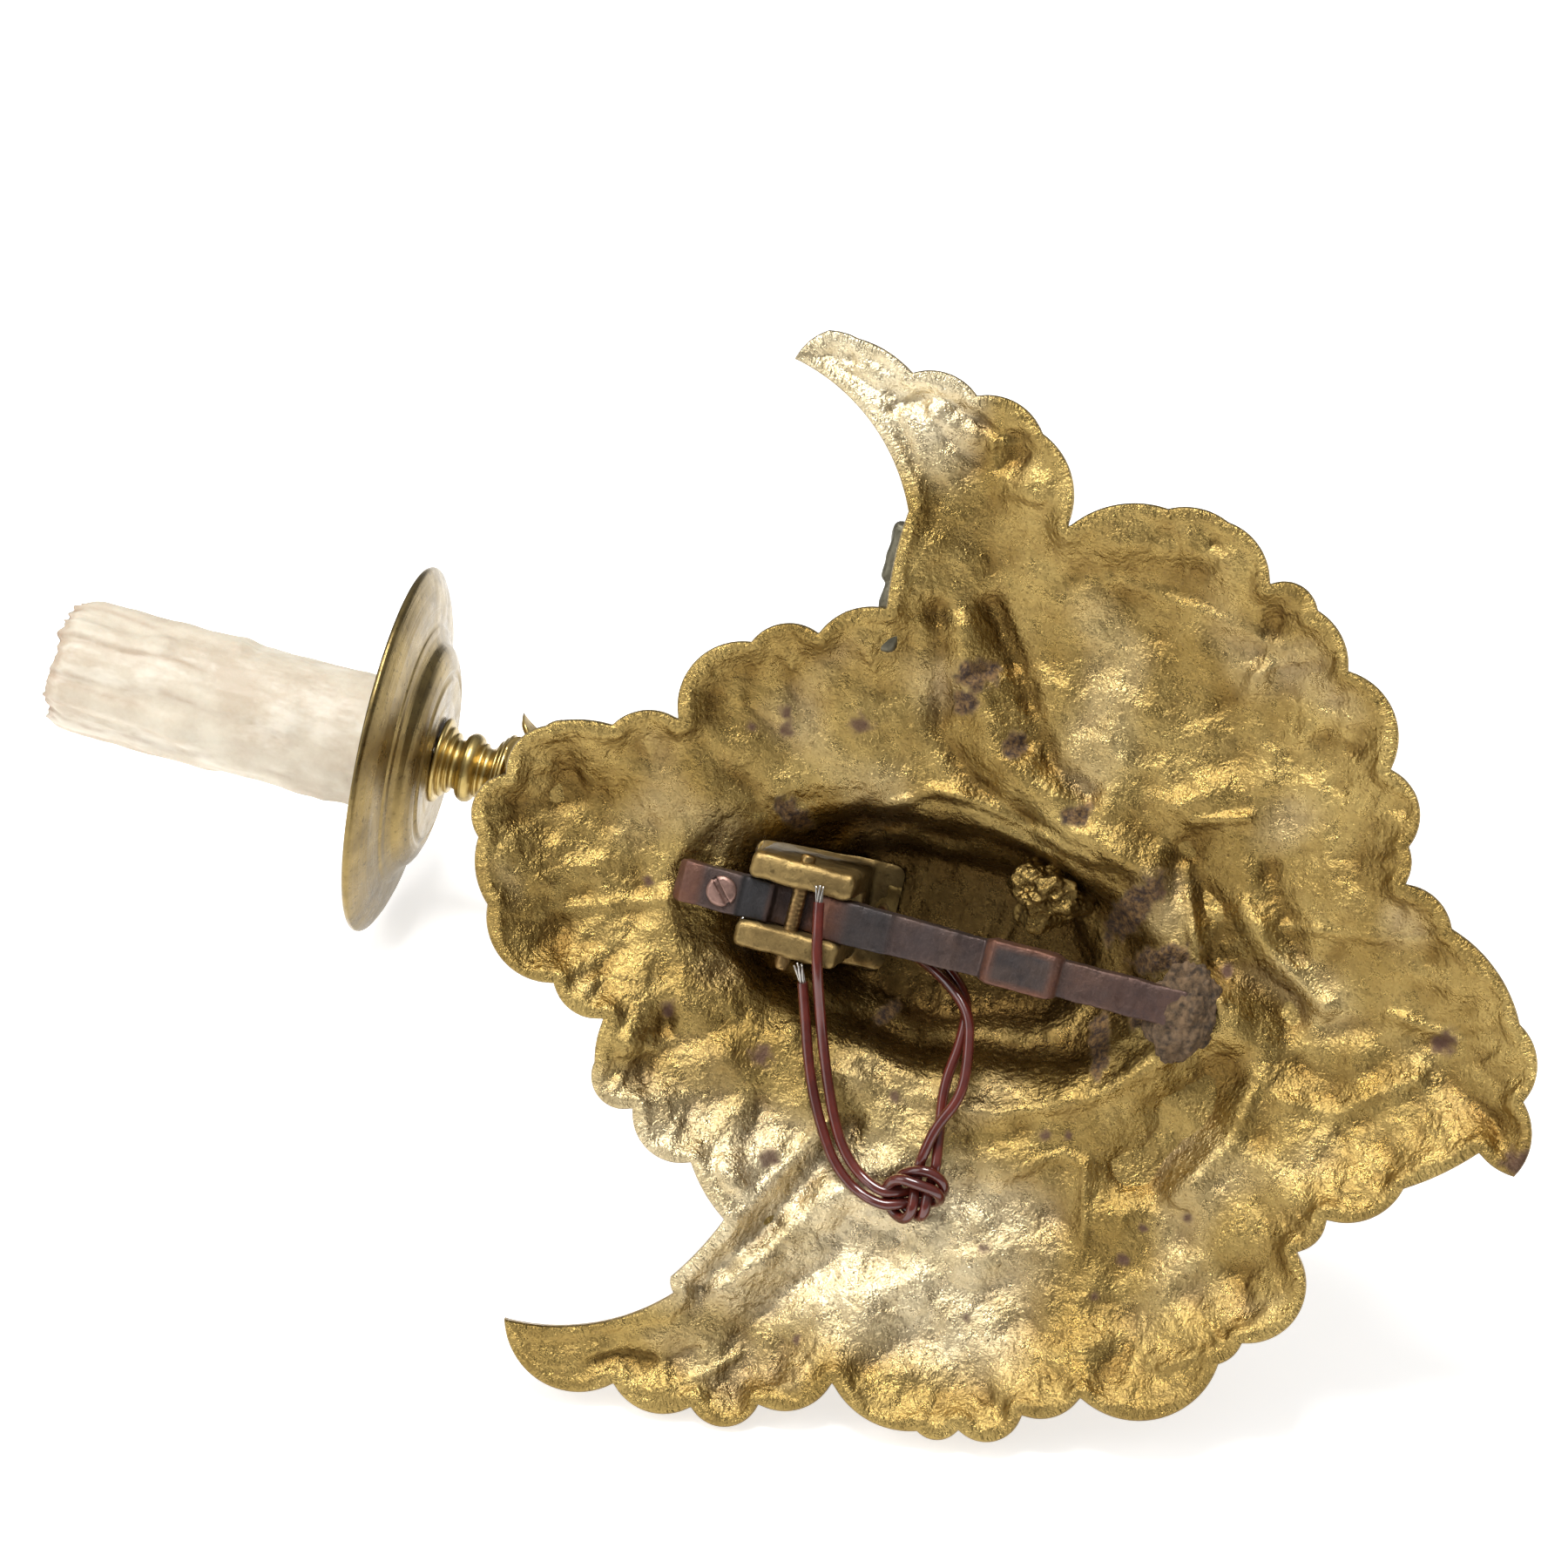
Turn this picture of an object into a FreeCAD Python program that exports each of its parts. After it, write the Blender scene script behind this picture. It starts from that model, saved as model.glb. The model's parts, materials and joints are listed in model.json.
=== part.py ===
import FreeCAD, Part
import math
import os
import Sketcher

# A single-light gilt-brass wall sconce with an electric candle.
# Frame: +Z up, the wall is the plane Y = 0, the front points to -Y, and the origin is the
# point of the wall behind the pin that locks the arm into the backplate.
# All sizes are millimetres.

Vector = FreeCAD.Vector
doc = FreeCAD.newDocument("WallSconce")

DIMENSIONS = {
    # cast backplate
    "PlateWall": 4.0,
    "PlateEdgeLift": 2.2,
    "PlateDish": 11.7,
    "PlateRimRun": 16.0,
    "ReliefSpacing": 6.0,
    "ReliefStartX": -105.0,
    "ReliefStartZ": -138.0,
    "PlateDepthLimit": 60.0,
    "CutMargin": 2.0,
    "HollowDepth": 20.5,
    "HollowHalfWidth": 25.0,
    "HollowHalfHeight": 44.0,
    "HollowMiddleZ": -24.0,
    "HollowFloorShare": 0.55,
    "SlotHalfWidth": 9.4,
    "SlotTopZ": 10.2,
    "SlotBottomZ": -14.6,
    # iron bar across the hollow
    "BarWidth": 7.0,
    "BarFrontY": -9.3,
    "BarBackY": -4.2,
    "BarTopZ": 21.0,
    "BarBottomZ": -68.0,
    "BarNotchTopZ": 4.1,
    "BarNotchBottomZ": -3.6,
    "BarNotchFloorY": -7.6,
    "BarPadTopZ": -33.5,
    "BarPadBottomZ": -45.5,
    "BarPadBackY": -3.2,
    "BarThinBackY": -5.2,
    # slotted screw through the bar
    "ScrewZ": 12.8,
    "ScrewHeadRadius": 2.65,
    "ScrewHeadHeight": 1.5,
    "ScrewShankRadius": 1.75,
    "ScrewTipY": -19.0,
    "ScrewSlotWidth": 0.8,
    "ScrewSlotDepth": 0.7,
    # filler round the lower end of the bar
    "FillerMiddleZ": -65.5,
    "FillerMiddleY": -9.0,
    "FillerHalfWidth": 8.0,
    "FillerHalfHeight": 7.0,
    "FillerHalfDepth": 4.2,
    # fork and shoulder of the arm
    "ForkHalfWidth": 8.25,
    "ForkGap": 7.3,
    "ForkHalfHeight": 9.0,
    "ForkBackY": -3.0,
    "ForkFloorY": -26.0,
    "ShoulderBackY": -34.2,
    "ShoulderFrontY": -43.0,
    "ShoulderHalfWidth": 11.5,
    "ShoulderTopZ": 12.5,
    "ShoulderBottomZ": -18.5,
    "SeatY": -34.0,
    "SeatMargin": 0.6,
    # cross pin
    "PinRadius": 1.3,
    "PinHoleRadius": 1.35,
    "PinY": -6.1,
    "PinStartX": -9.6,
    "PinEndX": 10.6,
    # hollow arm
    "ArmRadius": 5.0,
    "ArmBoreRadius": 2.6,
    "ArmTopZ": 69.5,
    "CandleY": -110.0,
    # leaf cup at the top of the arm
    "CupBoreRadius": 5.05,
    "CupFootRadius": 5.8,
    "CupWaistRadius": 7.4,
    "LeafTipRadius": 11.8,
    "LeafTipInnerRadius": 10.4,
    "CupWellRadius": 6.4,
    "CupBottomZ": 57.5,
    "CupWaistZ": 63.5,
    "CupWellZ": 64.6,
    "CupTopZ": 70.0,
    "LeafGapRadius": 3.2,
    "LeafGapLength": 13.0,
    # turned stem
    "StemBottomZ": 69.7,
    "StemLipZ": 70.4,
    "StemNeckZ": 74.1,
    "StemBallZ": 76.9,
    "StemWaistZ": 80.6,
    "StemTopZ": 83.5,
    "StemFootRadius": 7.6,
    "StemLipRadius": 8.2,
    "StemNeckRadius": 4.5,
    "StemBallRadius": 6.1,
    "StemWaistRadius": 5.2,
    "StemHeadRadius": 8.2,
    "StemBoreRadius": 2.6,
    "ThreadRadius": 4.05,
    "StemThreadZ": 78.5,
    # drip pan
    "PanBottomZ": 83.6,
    "PanWall": 1.2,
    "PanHoleRadius": 4.2,
    "PanFloorRadius": 15.5,
    "PanStepRadius": 17.8,
    "PanStepZ": 83.9,
    "PanBowlRadius": 20.7,
    "PanBowlZ": 85.1,
    "PanShelfRadius": 24.0,
    "PanShelfZ": 87.9,
    "PanCoveRadius": 30.5,
    "PanCoveZ": 89.3,
    "PanRimRadius": 35.5,
    "PanRimZ": 91.4,
    # nipple and nut
    "NippleRadius": 4.0,
    "NippleBoreRadius": 2.7,
    "NippleBottomZ": 78.6,
    "NippleTopZ": 98.0,
    "NutBottomZ": 84.9,
    "NutTopZ": 89.5,
    "NutAcrossFlats": 13.0,
    # lampholder
    "HolderRadius": 10.2,
    "CapBottomZ": 90.5,
    "CapFloorZ": 93.5,
    "CapTopZ": 102.5,
    "CapCavityRadius": 8.8,
    "BodyTopZ": 156.5,
    "SocketFloorZ": 130.5,
    "ShellBottomZ": 133.5,
    "ShellTopZ": 155.5,
    "ShellInnerRadius": 7.0,
    "ShellOuterRadius": 7.45,
    "WireChamberHalfWidth": 2.5,
    "WireChamberHalfDepth": 1.4,
    "WireChamberTopZ": 111.5,
    "ContactHalfWidth": 2.0,
    "ContactEndClear": 0.5,
    "ContactThickness": 0.6,
    "ContactButtonRadius": 2.0,
    "ContactTopZ": 133.1,
    "TerminalZ": 107.5,
    "TerminalRadius": 1.5,
    "TerminalClear": 0.1,
    "TerminalTipX": 2.4,
    "TerminalHeadRadius": 2.4,
    "TerminalHeadX": 8.0,
    "TerminalEndX": 9.6,
    # candle sleeve
    "SleeveBottomZ": 84.9,
    "SleeveTopZ": 159.5,
    "SleeveFootRadius": 14.1,
    "SleeveTopRadius": 12.1,
    "SleeveBoreRadius": 10.9,
    # supply wires
    "WireRadius": 0.95,
    "WireSpread": 1.2,
    "WireExitY": -33.5,
    "WireExitZ": -12.0,
    "WireTerminalZ": 110.5,
    "KnotX": 41.6,
    "KnotY": -5.2,
    "KnotZ": -31.7,
    "KnotTurn": 14.5,
    "KnotHalfAcross": 5.7,
    "KnotHalfAlong": 5.3,
    "KnotHalfDepth": 4.0,
    "StrandRadius": 0.7,
}

sheet = doc.addObject("Spreadsheet::Sheet", "Sheet")
for line, (alias, value) in enumerate(DIMENSIONS.items(), start=1):
    sheet.set("A%d" % line, alias)
    sheet.set("B%d" % line, str(value))
    sheet.setAlias("B%d" % line, alias)
doc.recompute()


def size(alias):
    """The value of one cell, for shapes that are worked out in this file."""
    return float(sheet.get(alias))


def cell(words):
    """An expression of the document, in which each alias is read from the sheet."""
    parts = words.split(" ")
    return " ".join("Sheet." + part if part in DIMENSIONS else part for part in parts)


def bind(item, **expressions):
    """Bind properties of an object to expressions of the sheet."""
    for name, words in expressions.items():
        item.setExpression(name, cell(words))


def place(item, x="0", y="0", z="0"):
    """Bind the position of an object to expressions of the sheet."""
    for axis, words in zip("xyz", (x, y, z)):
        item.setExpression("Placement.Base." + axis, cell(words))


def block(name, low, high):
    """A box between two corners, each given as three expressions."""
    item = doc.addObject("Part::Box", name)
    place(item, *low)
    for side, start, end in zip(("Length", "Width", "Height"), low, high):
        item.setExpression(side, "(%s) - (%s)" % (cell(end), cell(start)))
    return item


ALONG_X = FreeCAD.Rotation(Vector(0, 1, 0), 90)
ALONG_Y = FreeCAD.Rotation(Vector(1, 0, 0), -90)
ALONG_Z = FreeCAD.Rotation()


def rod(name, radius, length, start, direction=ALONG_Z):
    """A cylinder that starts at a point and runs along an axis."""
    item = doc.addObject("Part::Cylinder", name)
    item.Placement = FreeCAD.Placement(Vector(), direction)
    place(item, *start)
    bind(item, Radius=radius, Height=length)
    return item


def fused(name, *items):
    """Several overlapping objects joined into one."""
    item = doc.addObject("Part::MultiFuse", name)
    item.Shapes = list(items)
    item.Refine = True
    return item


def cut(name, base, tool):
    """One object with another taken away."""
    item = doc.addObject("Part::Cut", name)
    item.Base = base
    item.Tool = tool
    return item


def grouped(name, *items):
    """Separate solids that share one node."""
    item = doc.addObject("Part::Compound", name)
    item.Links = list(items)
    return item


def plain(name, shape):
    """A shape that is worked out in this file, kept as an object."""
    item = doc.addObject("Part::Feature", name)
    item.Shape = shape
    return item


def origin_plane(body, role):
    for feature in body.Origin.OriginFeatures:
        if feature.Role == role:
            return feature
    raise RuntimeError("no plane " + role)


def sketch_on(body, name, role):
    sketch = body.newObject("Sketcher::SketchObject", name)
    sketch.AttachmentSupport = [(origin_plane(body, role), "")]
    sketch.MapMode = "FlatFace"
    return sketch


def turned(name, profile):
    """A body turned about the candle's axis, from (radius, height) pairs of aliases."""
    body = doc.addObject("PartDesign::Body", name)
    sketch = sketch_on(body, name + "_profile", "XZ_Plane")
    corners = [Vector(size(radius), size(height), 0) for radius, height in profile]
    count = len(corners)
    for index in range(count):
        sketch.addGeometry(Part.LineSegment(corners[index], corners[(index + 1) % count]))
    for index in range(count):
        sketch.addConstraint(Sketcher.Constraint("Coincident", index, 2, (index + 1) % count, 1))
    for index, (radius, height) in enumerate(profile):
        for kind, alias in (("DistanceX", radius), ("DistanceY", height)):
            number = sketch.addConstraint(Sketcher.Constraint(kind, -1, 1, index, 1, size(alias)))
            sketch.setExpression("Constraints[%d]" % number, cell(alias))
    turn = body.newObject("PartDesign::Revolution", name + "_turn")
    turn.Profile = sketch
    turn.ReferenceAxis = (sketch, ["V_Axis"])
    turn.Angle = 360
    body.Tip = turn
    place(body, y="CandleY")
    return body


def rounded_path(route):
    """Straight runs joined by tangent arcs, each as large as its two runs allow."""
    points = [Vector(*point) for point in route]
    edges = []
    radii = []
    start = points[0]
    for before, corner, after in zip(points, points[1:], points[2:]):
        incoming = corner - before
        outgoing = after - corner
        turn = incoming.getAngle(outgoing)
        reach = 0.45 * min(incoming.Length, outgoing.Length)
        radius = reach / math.tan(turn / 2)
        incoming.normalize()
        outgoing.normalize()
        arc_start = corner - incoming * reach
        arc_end = corner + outgoing * reach
        inward = outgoing - incoming
        inward.normalize()
        to_centre = radius / math.cos(turn / 2)
        arc_middle = corner + inward * (to_centre - radius)
        edges.append(Part.LineSegment(start, arc_start).toShape())
        edges.append(Part.Arc(arc_start, arc_middle, arc_end).toShape())
        radii.append(round(radius, 1))
        start = arc_end
    edges.append(Part.LineSegment(start, points[-1]).toShape())
    return Part.Wire(edges), radii


def tube(name, route, radius):
    """A round bar along a route; prints its bends and compares its volume with its length."""
    path, radii = rounded_path(route)
    direction = Vector(*route[1]) - Vector(*route[0])
    circle = Part.Wire([Part.makeCircle(radius, Vector(*route[0]), direction)])
    sweep = Part.BRepOffsetAPI.MakePipeShell(path)
    sweep.add(circle)
    sweep.build()
    sweep.makeSolid()
    solid = sweep.shape()
    expected = math.pi * radius ** 2 * path.Length
    ratio = solid.Volume / expected
    print("%s: length %.1f, radii %s, volume ratio %.4f" % (name, path.Length, radii, ratio))
    return plain(name, solid)


# ---------------------------------------------------------------- cast backplate
# Outline seen on the wall plane: (x, z, bulge). Each point is a notch between two lobes of
# the scalloped edge, and bulge is how far the lobe that follows it swells outwards.
OUTLINE = [
    # horn on the -X side
    (-90.0, 22.3, 0.8), (-96.3, 17.7, 0.3), (-96.2, 12.8, 0.8), (-92.8, 2.3, 1.9),
    (-91.7, -9.1, 2.3), (-88.2, -21.4, 2.8),
    # scallops down the -X side
    (-74.3, -29.3, 2.2), (-81.2, -44.6, 1.2), (-81.5, -54.9, 2.0), (-73.3, -64.2, 2.2),
    (-70.9, -73.0, 1.6), (-62.4, -80.4, 4.2), (-48.3, -91.3, 3.2), (-36.5, -97.4, 0.7),
    (-30.5, -98.4, 1.8),
    # pointed foot with its small curl
    (-25.2, -107.6, 2.0), (-12.6, -122.4, 2.6), (-0.2, -126.2, 2.2), (12.4, -127.7, 0.6),
    (10.1, -121.1, 0.5),
    # scallops up the +X side
    (19.0, -110.7, 2.5), (27.4, -99.7, 1.2), (33.8, -96.3, 5.5), (51.1, -91.2, 0.6),
    (55.5, -88.3, 6.5), (67.2, -67.3, 1.8), (72.6, -58.6, 3.2), (77.9, -48.8, 1.6),
    (79.9, -42.0, 2.5), (75.8, -26.2, 2.7), (82.6, -15.0, 3.6), (86.1, -3.9, 2.9),
    # horn on the +X side and the small lip inside it
    (85.7, 9.9, 6.2), (79.6, 30.9, -3.0), (67.8, 3.9, 0.3), (65.2, 5.0, -0.4),
    (53.5, -1.4, 0.6),
    # lobes up to the crown
    (45.7, 6.3, 3.4), (39.4, 18.2, 3.3), (33.2, 26.5, 0.4), (25.9, 26.8, 2.0),
    (22.2, 36.4, 4.2), (12.0, 50.7, 1.3), (1.3, 55.0, 3.3), (-10.5, 53.0, 2.0),
    (-20.1, 48.3, 0.3), (-21.8, 45.6, 0.4), (-23.1, 37.3, 2.0), (-26.8, 26.7, 4.6),
    (-42.5, 17.8, 2.4), (-46.7, 7.1, 1.8), (-53.6, -2.9, 0.5), (-70.0, -2.5, -3.9),
]


def outline_arcs():
    """The outline as arcs, in the plane of the sketch that holds it: (x, z, 0)."""
    arcs = []
    following = OUTLINE[1:] + OUTLINE[:1]
    for (x0, z0, bulge), (x1, z1, _) in zip(OUTLINE, following):
        chord = math.hypot(x1 - x0, z1 - z0)
        middle = Vector(
            (x0 + x1) / 2 + bulge * (z1 - z0) / chord,
            (z0 + z1) / 2 - bulge * (x1 - x0) / chord,
            0,
        )
        arcs.append(Part.Arc(Vector(x0, z0, 0), middle, Vector(x1, z1, 0)))
    return arcs


def outline_prism():
    """Everything behind the outline, from the wall plane to well in front of the plate."""
    body = doc.addObject("PartDesign::Body", "outline_prism")
    sketch = sketch_on(body, "outline", "XZ_Plane")
    for arc in outline_arcs():
        sketch.addGeometry(arc)
    pad = body.newObject("PartDesign::Pad", "outline_pad")
    pad.Profile = sketch
    pad.UseCustomVector = True
    pad.Direction = Vector(0, -1, 0)
    bind(pad, Length="PlateDepthLimit")
    body.Tip = pad
    doc.recompute()
    return body


def edge_samples():
    """Points along the outline, for measuring how far inside it a place is."""
    samples = []
    for arc in outline_arcs():
        samples.extend(arc.toShape().discretize(12)[:-1])
    return [(point.x, point.y) for point in samples]


def inside_distance(x, z, samples):
    """Distance to the outline, positive inside it and negative outside."""
    nearest = min(math.hypot(x - px, z - pz) for px, pz in samples)
    crossings = 0
    for (x0, z0), (x1, z1) in zip(samples, samples[1:] + samples[:1]):
        if (z0 > z) != (z1 > z) and x < x0 + (z - z0) * (x1 - x0) / (z1 - z0):
            crossings += 1
    return nearest if crossings % 2 else -nearest


def smooth(share):
    share = max(0.0, min(1.0, share))
    return share * share * (3 - 2 * share)


def back_height(x, z, samples):
    """Y of the plate's back surface: a dished rim, a flat field and a deep oval hollow."""
    run = inside_distance(x, z, samples) / size("PlateRimRun")
    run = max(-0.12, min(1.0, run))
    dish = size("PlateEdgeLift") - size("PlateDish") * (1 - (1 - run) ** 2)
    across = x / size("HollowHalfWidth")
    along = (z - size("HollowMiddleZ")) / size("HollowHalfHeight")
    share = (1 - math.hypot(across, along)) / (1 - size("HollowFloorShare"))
    return dish - size("HollowDepth") * smooth(share)


def relief_slab():
    """The wavy wall of the casting, before it is trimmed to the outline."""
    samples = edge_samples()
    spacing = size("ReliefSpacing")
    columns = [size("ReliefStartX") + spacing * step for step in range(34)]
    rows = [size("ReliefStartZ") + spacing * step for step in range(35)]
    poles = [[Vector(x, back_height(x, z, samples), z) for z in rows] for x in columns]
    surface = Part.BSplineSurface()
    surface.interpolate(poles)
    wall = surface.toShape().extrude(Vector(0, -size("PlateWall"), 0))
    return plain("relief_slab", wall)


def backplate():
    trimmed = doc.addObject("Part::Common", "trimmed_relief")
    trimmed.Base = outline_prism()
    trimmed.Tool = relief_slab()
    slot = block(
        "fork_slot",
        ("- SlotHalfWidth", "- PlateDepthLimit", "SlotBottomZ"),
        ("SlotHalfWidth", "0", "SlotTopZ"),
    )
    seat = block(
        "shoulder_seat",
        ("- ShoulderHalfWidth - SeatMargin", "- PlateDepthLimit", "ShoulderBottomZ - SeatMargin"),
        ("ShoulderHalfWidth + SeatMargin", "SeatY", "ShoulderTopZ + SeatMargin"),
    )
    screw_hole = rod(
        "plate_screw_hole", "ScrewShankRadius", "BarBackY - ScrewTipY + CutMargin * 2",
        ("0", "ScrewTipY - CutMargin * 2", "ScrewZ"), ALONG_Y,
    )
    return cut("backplate", trimmed, fused("plate_openings", slot, seat, screw_hole))


# ---------------------------------------------------------------- iron bar and its fixings
def iron_crossbar():
    upper = block(
        "bar_upper",
        ("- BarWidth / 2", "BarFrontY", "BarPadBottomZ"), ("BarWidth / 2", "BarBackY", "BarTopZ"),
    )
    lower = block(
        "bar_lower",
        ("- BarWidth / 2", "BarFrontY", "BarBottomZ"), ("BarWidth / 2", "BarThinBackY", "BarPadBottomZ"),
    )
    pad = block(
        "bar_pad",
        ("- BarWidth / 2", "BarFrontY", "BarPadBottomZ"), ("BarWidth / 2", "BarPadBackY", "BarPadTopZ"),
    )
    notch = block(
        "bar_notch",
        ("- BarWidth", "BarNotchFloorY", "BarNotchBottomZ"), ("BarWidth", "0", "BarNotchTopZ"),
    )
    hole = rod(
        "bar_hole", "ScrewShankRadius", "BarBackY - BarFrontY + CutMargin * 2",
        ("0", "BarFrontY - CutMargin", "ScrewZ"), ALONG_Y,
    )
    return cut("iron_crossbar", fused("bar_blank", upper, lower, pad), fused("bar_cuts", notch, hole))


def crossbar_screw():
    head = rod("screw_head", "ScrewHeadRadius", "ScrewHeadHeight", ("0", "BarBackY", "ScrewZ"), ALONG_Y)
    shank = rod(
        "screw_shank", "ScrewShankRadius", "BarBackY - ScrewTipY", ("0", "ScrewTipY", "ScrewZ"), ALONG_Y
    )
    slot = block(
        "screw_slot",
        ("- ScrewHeadRadius * 2", "BarBackY + ScrewHeadHeight - ScrewSlotDepth",
         "ScrewZ - ScrewSlotWidth / 2"),
        ("ScrewHeadRadius * 2", "0", "ScrewZ + ScrewSlotWidth / 2"),
    )
    return cut("crossbar_screw", fused("screw_blank", head, shank), slot)


def lower_end_filler(bar, plate):
    lump = doc.addObject("Part::Ellipsoid", "filler_lump")
    bind(lump, Radius1="FillerHalfHeight", Radius2="FillerHalfWidth", Radius3="FillerHalfDepth")
    place(lump, "0", "FillerMiddleY", "FillerMiddleZ")
    around_bar = cut("filler_round_bar", lump, bar)
    return cut("lower_end_filler", around_bar, plate)


# ---------------------------------------------------------------- arm
# Middle line of the hollow arm, in its plane of symmetry: (0, y, z).
ARM_ROUTE = [
    (0, size("ShoulderBackY"), size("WireExitZ")),
    (0, -50, -13),
    (0, -72, -20),
    (0, -98, -8),
    (0, size("CandleY"), 24),
    (0, size("CandleY"), size("ArmTopZ")),
]


def arm():
    outer = tube("arm_outside", ARM_ROUTE, size("ArmRadius"))
    bore = tube("arm_bore", ARM_ROUTE, size("ArmBoreRadius"))
    tenon = block(
        "arm_tenon",
        ("- ForkHalfWidth", "ShoulderFrontY", "- ForkHalfHeight"),
        ("ForkHalfWidth", "ForkBackY", "ForkHalfHeight"),
    )
    shoulder = block(
        "arm_shoulder",
        ("- ShoulderHalfWidth", "ShoulderFrontY", "ShoulderBottomZ"),
        ("ShoulderHalfWidth", "ShoulderBackY", "ShoulderTopZ"),
    )
    gap = block(
        "fork_gap",
        ("- ForkGap / 2", "ForkFloorY", "- ForkHalfHeight * 2"), ("ForkGap / 2", "0", "ForkHalfHeight * 2"),
    )
    pin_hole = rod(
        "pin_hole", "PinHoleRadius", "ForkHalfWidth * 4", ("- ForkHalfWidth * 2", "PinY", "0"), ALONG_X
    )
    solid = fused("arm_blank", outer, tenon, shoulder)
    return cut("arm", solid, fused("arm_openings", bore, gap, pin_hole))


def cotter_pin():
    return rod("cotter_pin", "PinRadius", "PinEndX - PinStartX", ("PinStartX", "PinY", "0"), ALONG_X)


def arm_leaf_collar():
    """A flared cup round the top of the arm, cut into six leaves."""
    cup = turned("leaf_cup", [
        ("CupBoreRadius", "CupBottomZ"), ("CupFootRadius", "CupBottomZ"),
        ("CupWaistRadius", "CupWaistZ"), ("LeafTipRadius", "CupTopZ"),
        ("LeafTipInnerRadius", "CupTopZ"), ("CupWellRadius", "CupWellZ"),
        ("CupBoreRadius", "CupWellZ"),
    ])
    gaps = []
    for number in range(6):
        direction = FreeCAD.Rotation(Vector(0, 0, 1), 60 * number + 30) * ALONG_X
        gaps.append(rod(
            "leaf_gap_%d" % (number + 1), "LeafGapRadius", "LeafGapLength",
            ("0", "CandleY", "CupTopZ"), direction,
        ))
    return cut("arm_leaf_collar", cup, fused("leaf_gaps", *gaps))


# ---------------------------------------------------------------- turned stem and drip pan
def turned_stem():
    return turned("turned_stem", [
        ("StemBoreRadius", "StemBottomZ"), ("StemFootRadius", "StemBottomZ"),
        ("StemLipRadius", "StemLipZ"), ("StemNeckRadius", "StemNeckZ"),
        ("StemBallRadius", "StemBallZ"), ("StemWaistRadius", "StemWaistZ"),
        ("StemHeadRadius", "StemTopZ"), ("ThreadRadius", "StemTopZ"),
        ("ThreadRadius", "StemThreadZ"), ("StemBoreRadius", "StemThreadZ"),
    ])


def drip_pan():
    """A saucer spun from sheet: a flat floor, a step, a bowl, a shelf and a wide flared rim."""
    wall = size("PanWall")
    stations = ("Bottom", "Step", "Bowl", "Shelf", "Cove", "Rim")
    for station in stations:
        line = len(DIMENSIONS) + 1
        alias = "Pan%sTopZ" % station
        DIMENSIONS[alias] = size("Pan%sZ" % station) + wall
        sheet.set("A%d" % line, alias)
        sheet.set("B%d" % line, "=Pan%sZ + PanWall" % station)
        sheet.setAlias("B%d" % line, alias)
    doc.recompute()
    return turned("drip_pan", [
        ("PanHoleRadius", "PanBottomZ"), ("PanFloorRadius", "PanBottomZ"),
        ("PanStepRadius", "PanStepZ"), ("PanBowlRadius", "PanBowlZ"),
        ("PanShelfRadius", "PanShelfZ"), ("PanCoveRadius", "PanCoveZ"),
        ("PanRimRadius", "PanRimZ"), ("PanRimRadius", "PanRimTopZ"),
        ("PanCoveRadius", "PanCoveTopZ"), ("PanShelfRadius", "PanShelfTopZ"),
        ("PanBowlRadius", "PanBowlTopZ"), ("PanStepRadius", "PanStepTopZ"),
        ("PanFloorRadius", "PanBottomTopZ"), ("PanHoleRadius", "PanBottomTopZ"),
    ])


# ---------------------------------------------------------------- electric candle
def threaded_nipple():
    return turned("threaded_nipple", [
        ("NippleBoreRadius", "NippleBottomZ"), ("NippleRadius", "NippleBottomZ"),
        ("NippleRadius", "NippleTopZ"), ("NippleBoreRadius", "NippleTopZ"),
    ])


def lock_nut():
    prism = doc.addObject("Part::Prism", "nut_prism")
    prism.Polygon = 6
    bind(prism, Circumradius="NutAcrossFlats / 2 / cos(30)", Height="NutTopZ - NutBottomZ")
    place(prism, y="CandleY", z="NutBottomZ")
    hole = rod(
        "nut_hole", "ThreadRadius", "NutTopZ - NutBottomZ + CutMargin * 2",
        ("0", "CandleY", "NutBottomZ - CutMargin"),
    )
    return cut("lock_nut", prism, hole)


def lampholder_cap():
    return turned("lampholder_cap", [
        ("ThreadRadius", "CapBottomZ"), ("HolderRadius", "CapBottomZ"),
        ("HolderRadius", "CapTopZ"), ("CapCavityRadius", "CapTopZ"),
        ("CapCavityRadius", "CapFloorZ"), ("ThreadRadius", "CapFloorZ"),
    ])


def terminal_rods(name, radius, length, start):
    """The same rod on both sides of the holder, along X."""
    right = rod(name + "_right", radius, length, (start, "CandleY", "TerminalZ"), ALONG_X)
    mirrored = "- ( %s ) - ( %s )" % (start, length)
    left = rod(name + "_left", radius, length, (mirrored, "CandleY", "TerminalZ"), ALONG_X)
    return right, left


def lampholder_body():
    blank = rod("holder_blank", "HolderRadius", "BodyTopZ - CapTopZ", ("0", "CandleY", "CapTopZ"))
    bore = rod(
        "holder_bore", "ShellOuterRadius", "BodyTopZ - SocketFloorZ + CutMargin",
        ("0", "CandleY", "SocketFloorZ"),
    )
    chamber = block(
        "wire_chamber",
        ("- WireChamberHalfWidth", "CandleY - WireChamberHalfDepth", "CapTopZ - CutMargin"),
        ("WireChamberHalfWidth", "CandleY + WireChamberHalfDepth", "WireChamberTopZ"),
    )
    holes = terminal_rods(
        "terminal_hole", "TerminalRadius + TerminalClear", "HolderRadius",
        "TerminalTipX - TerminalClear",
    )
    heads = terminal_rods(
        "terminal_recess", "TerminalHeadRadius + TerminalClear", "HolderRadius", "TerminalHeadX"
    )
    return cut("lampholder_body", blank, fused("holder_openings", bore, chamber, *holes, *heads))


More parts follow.
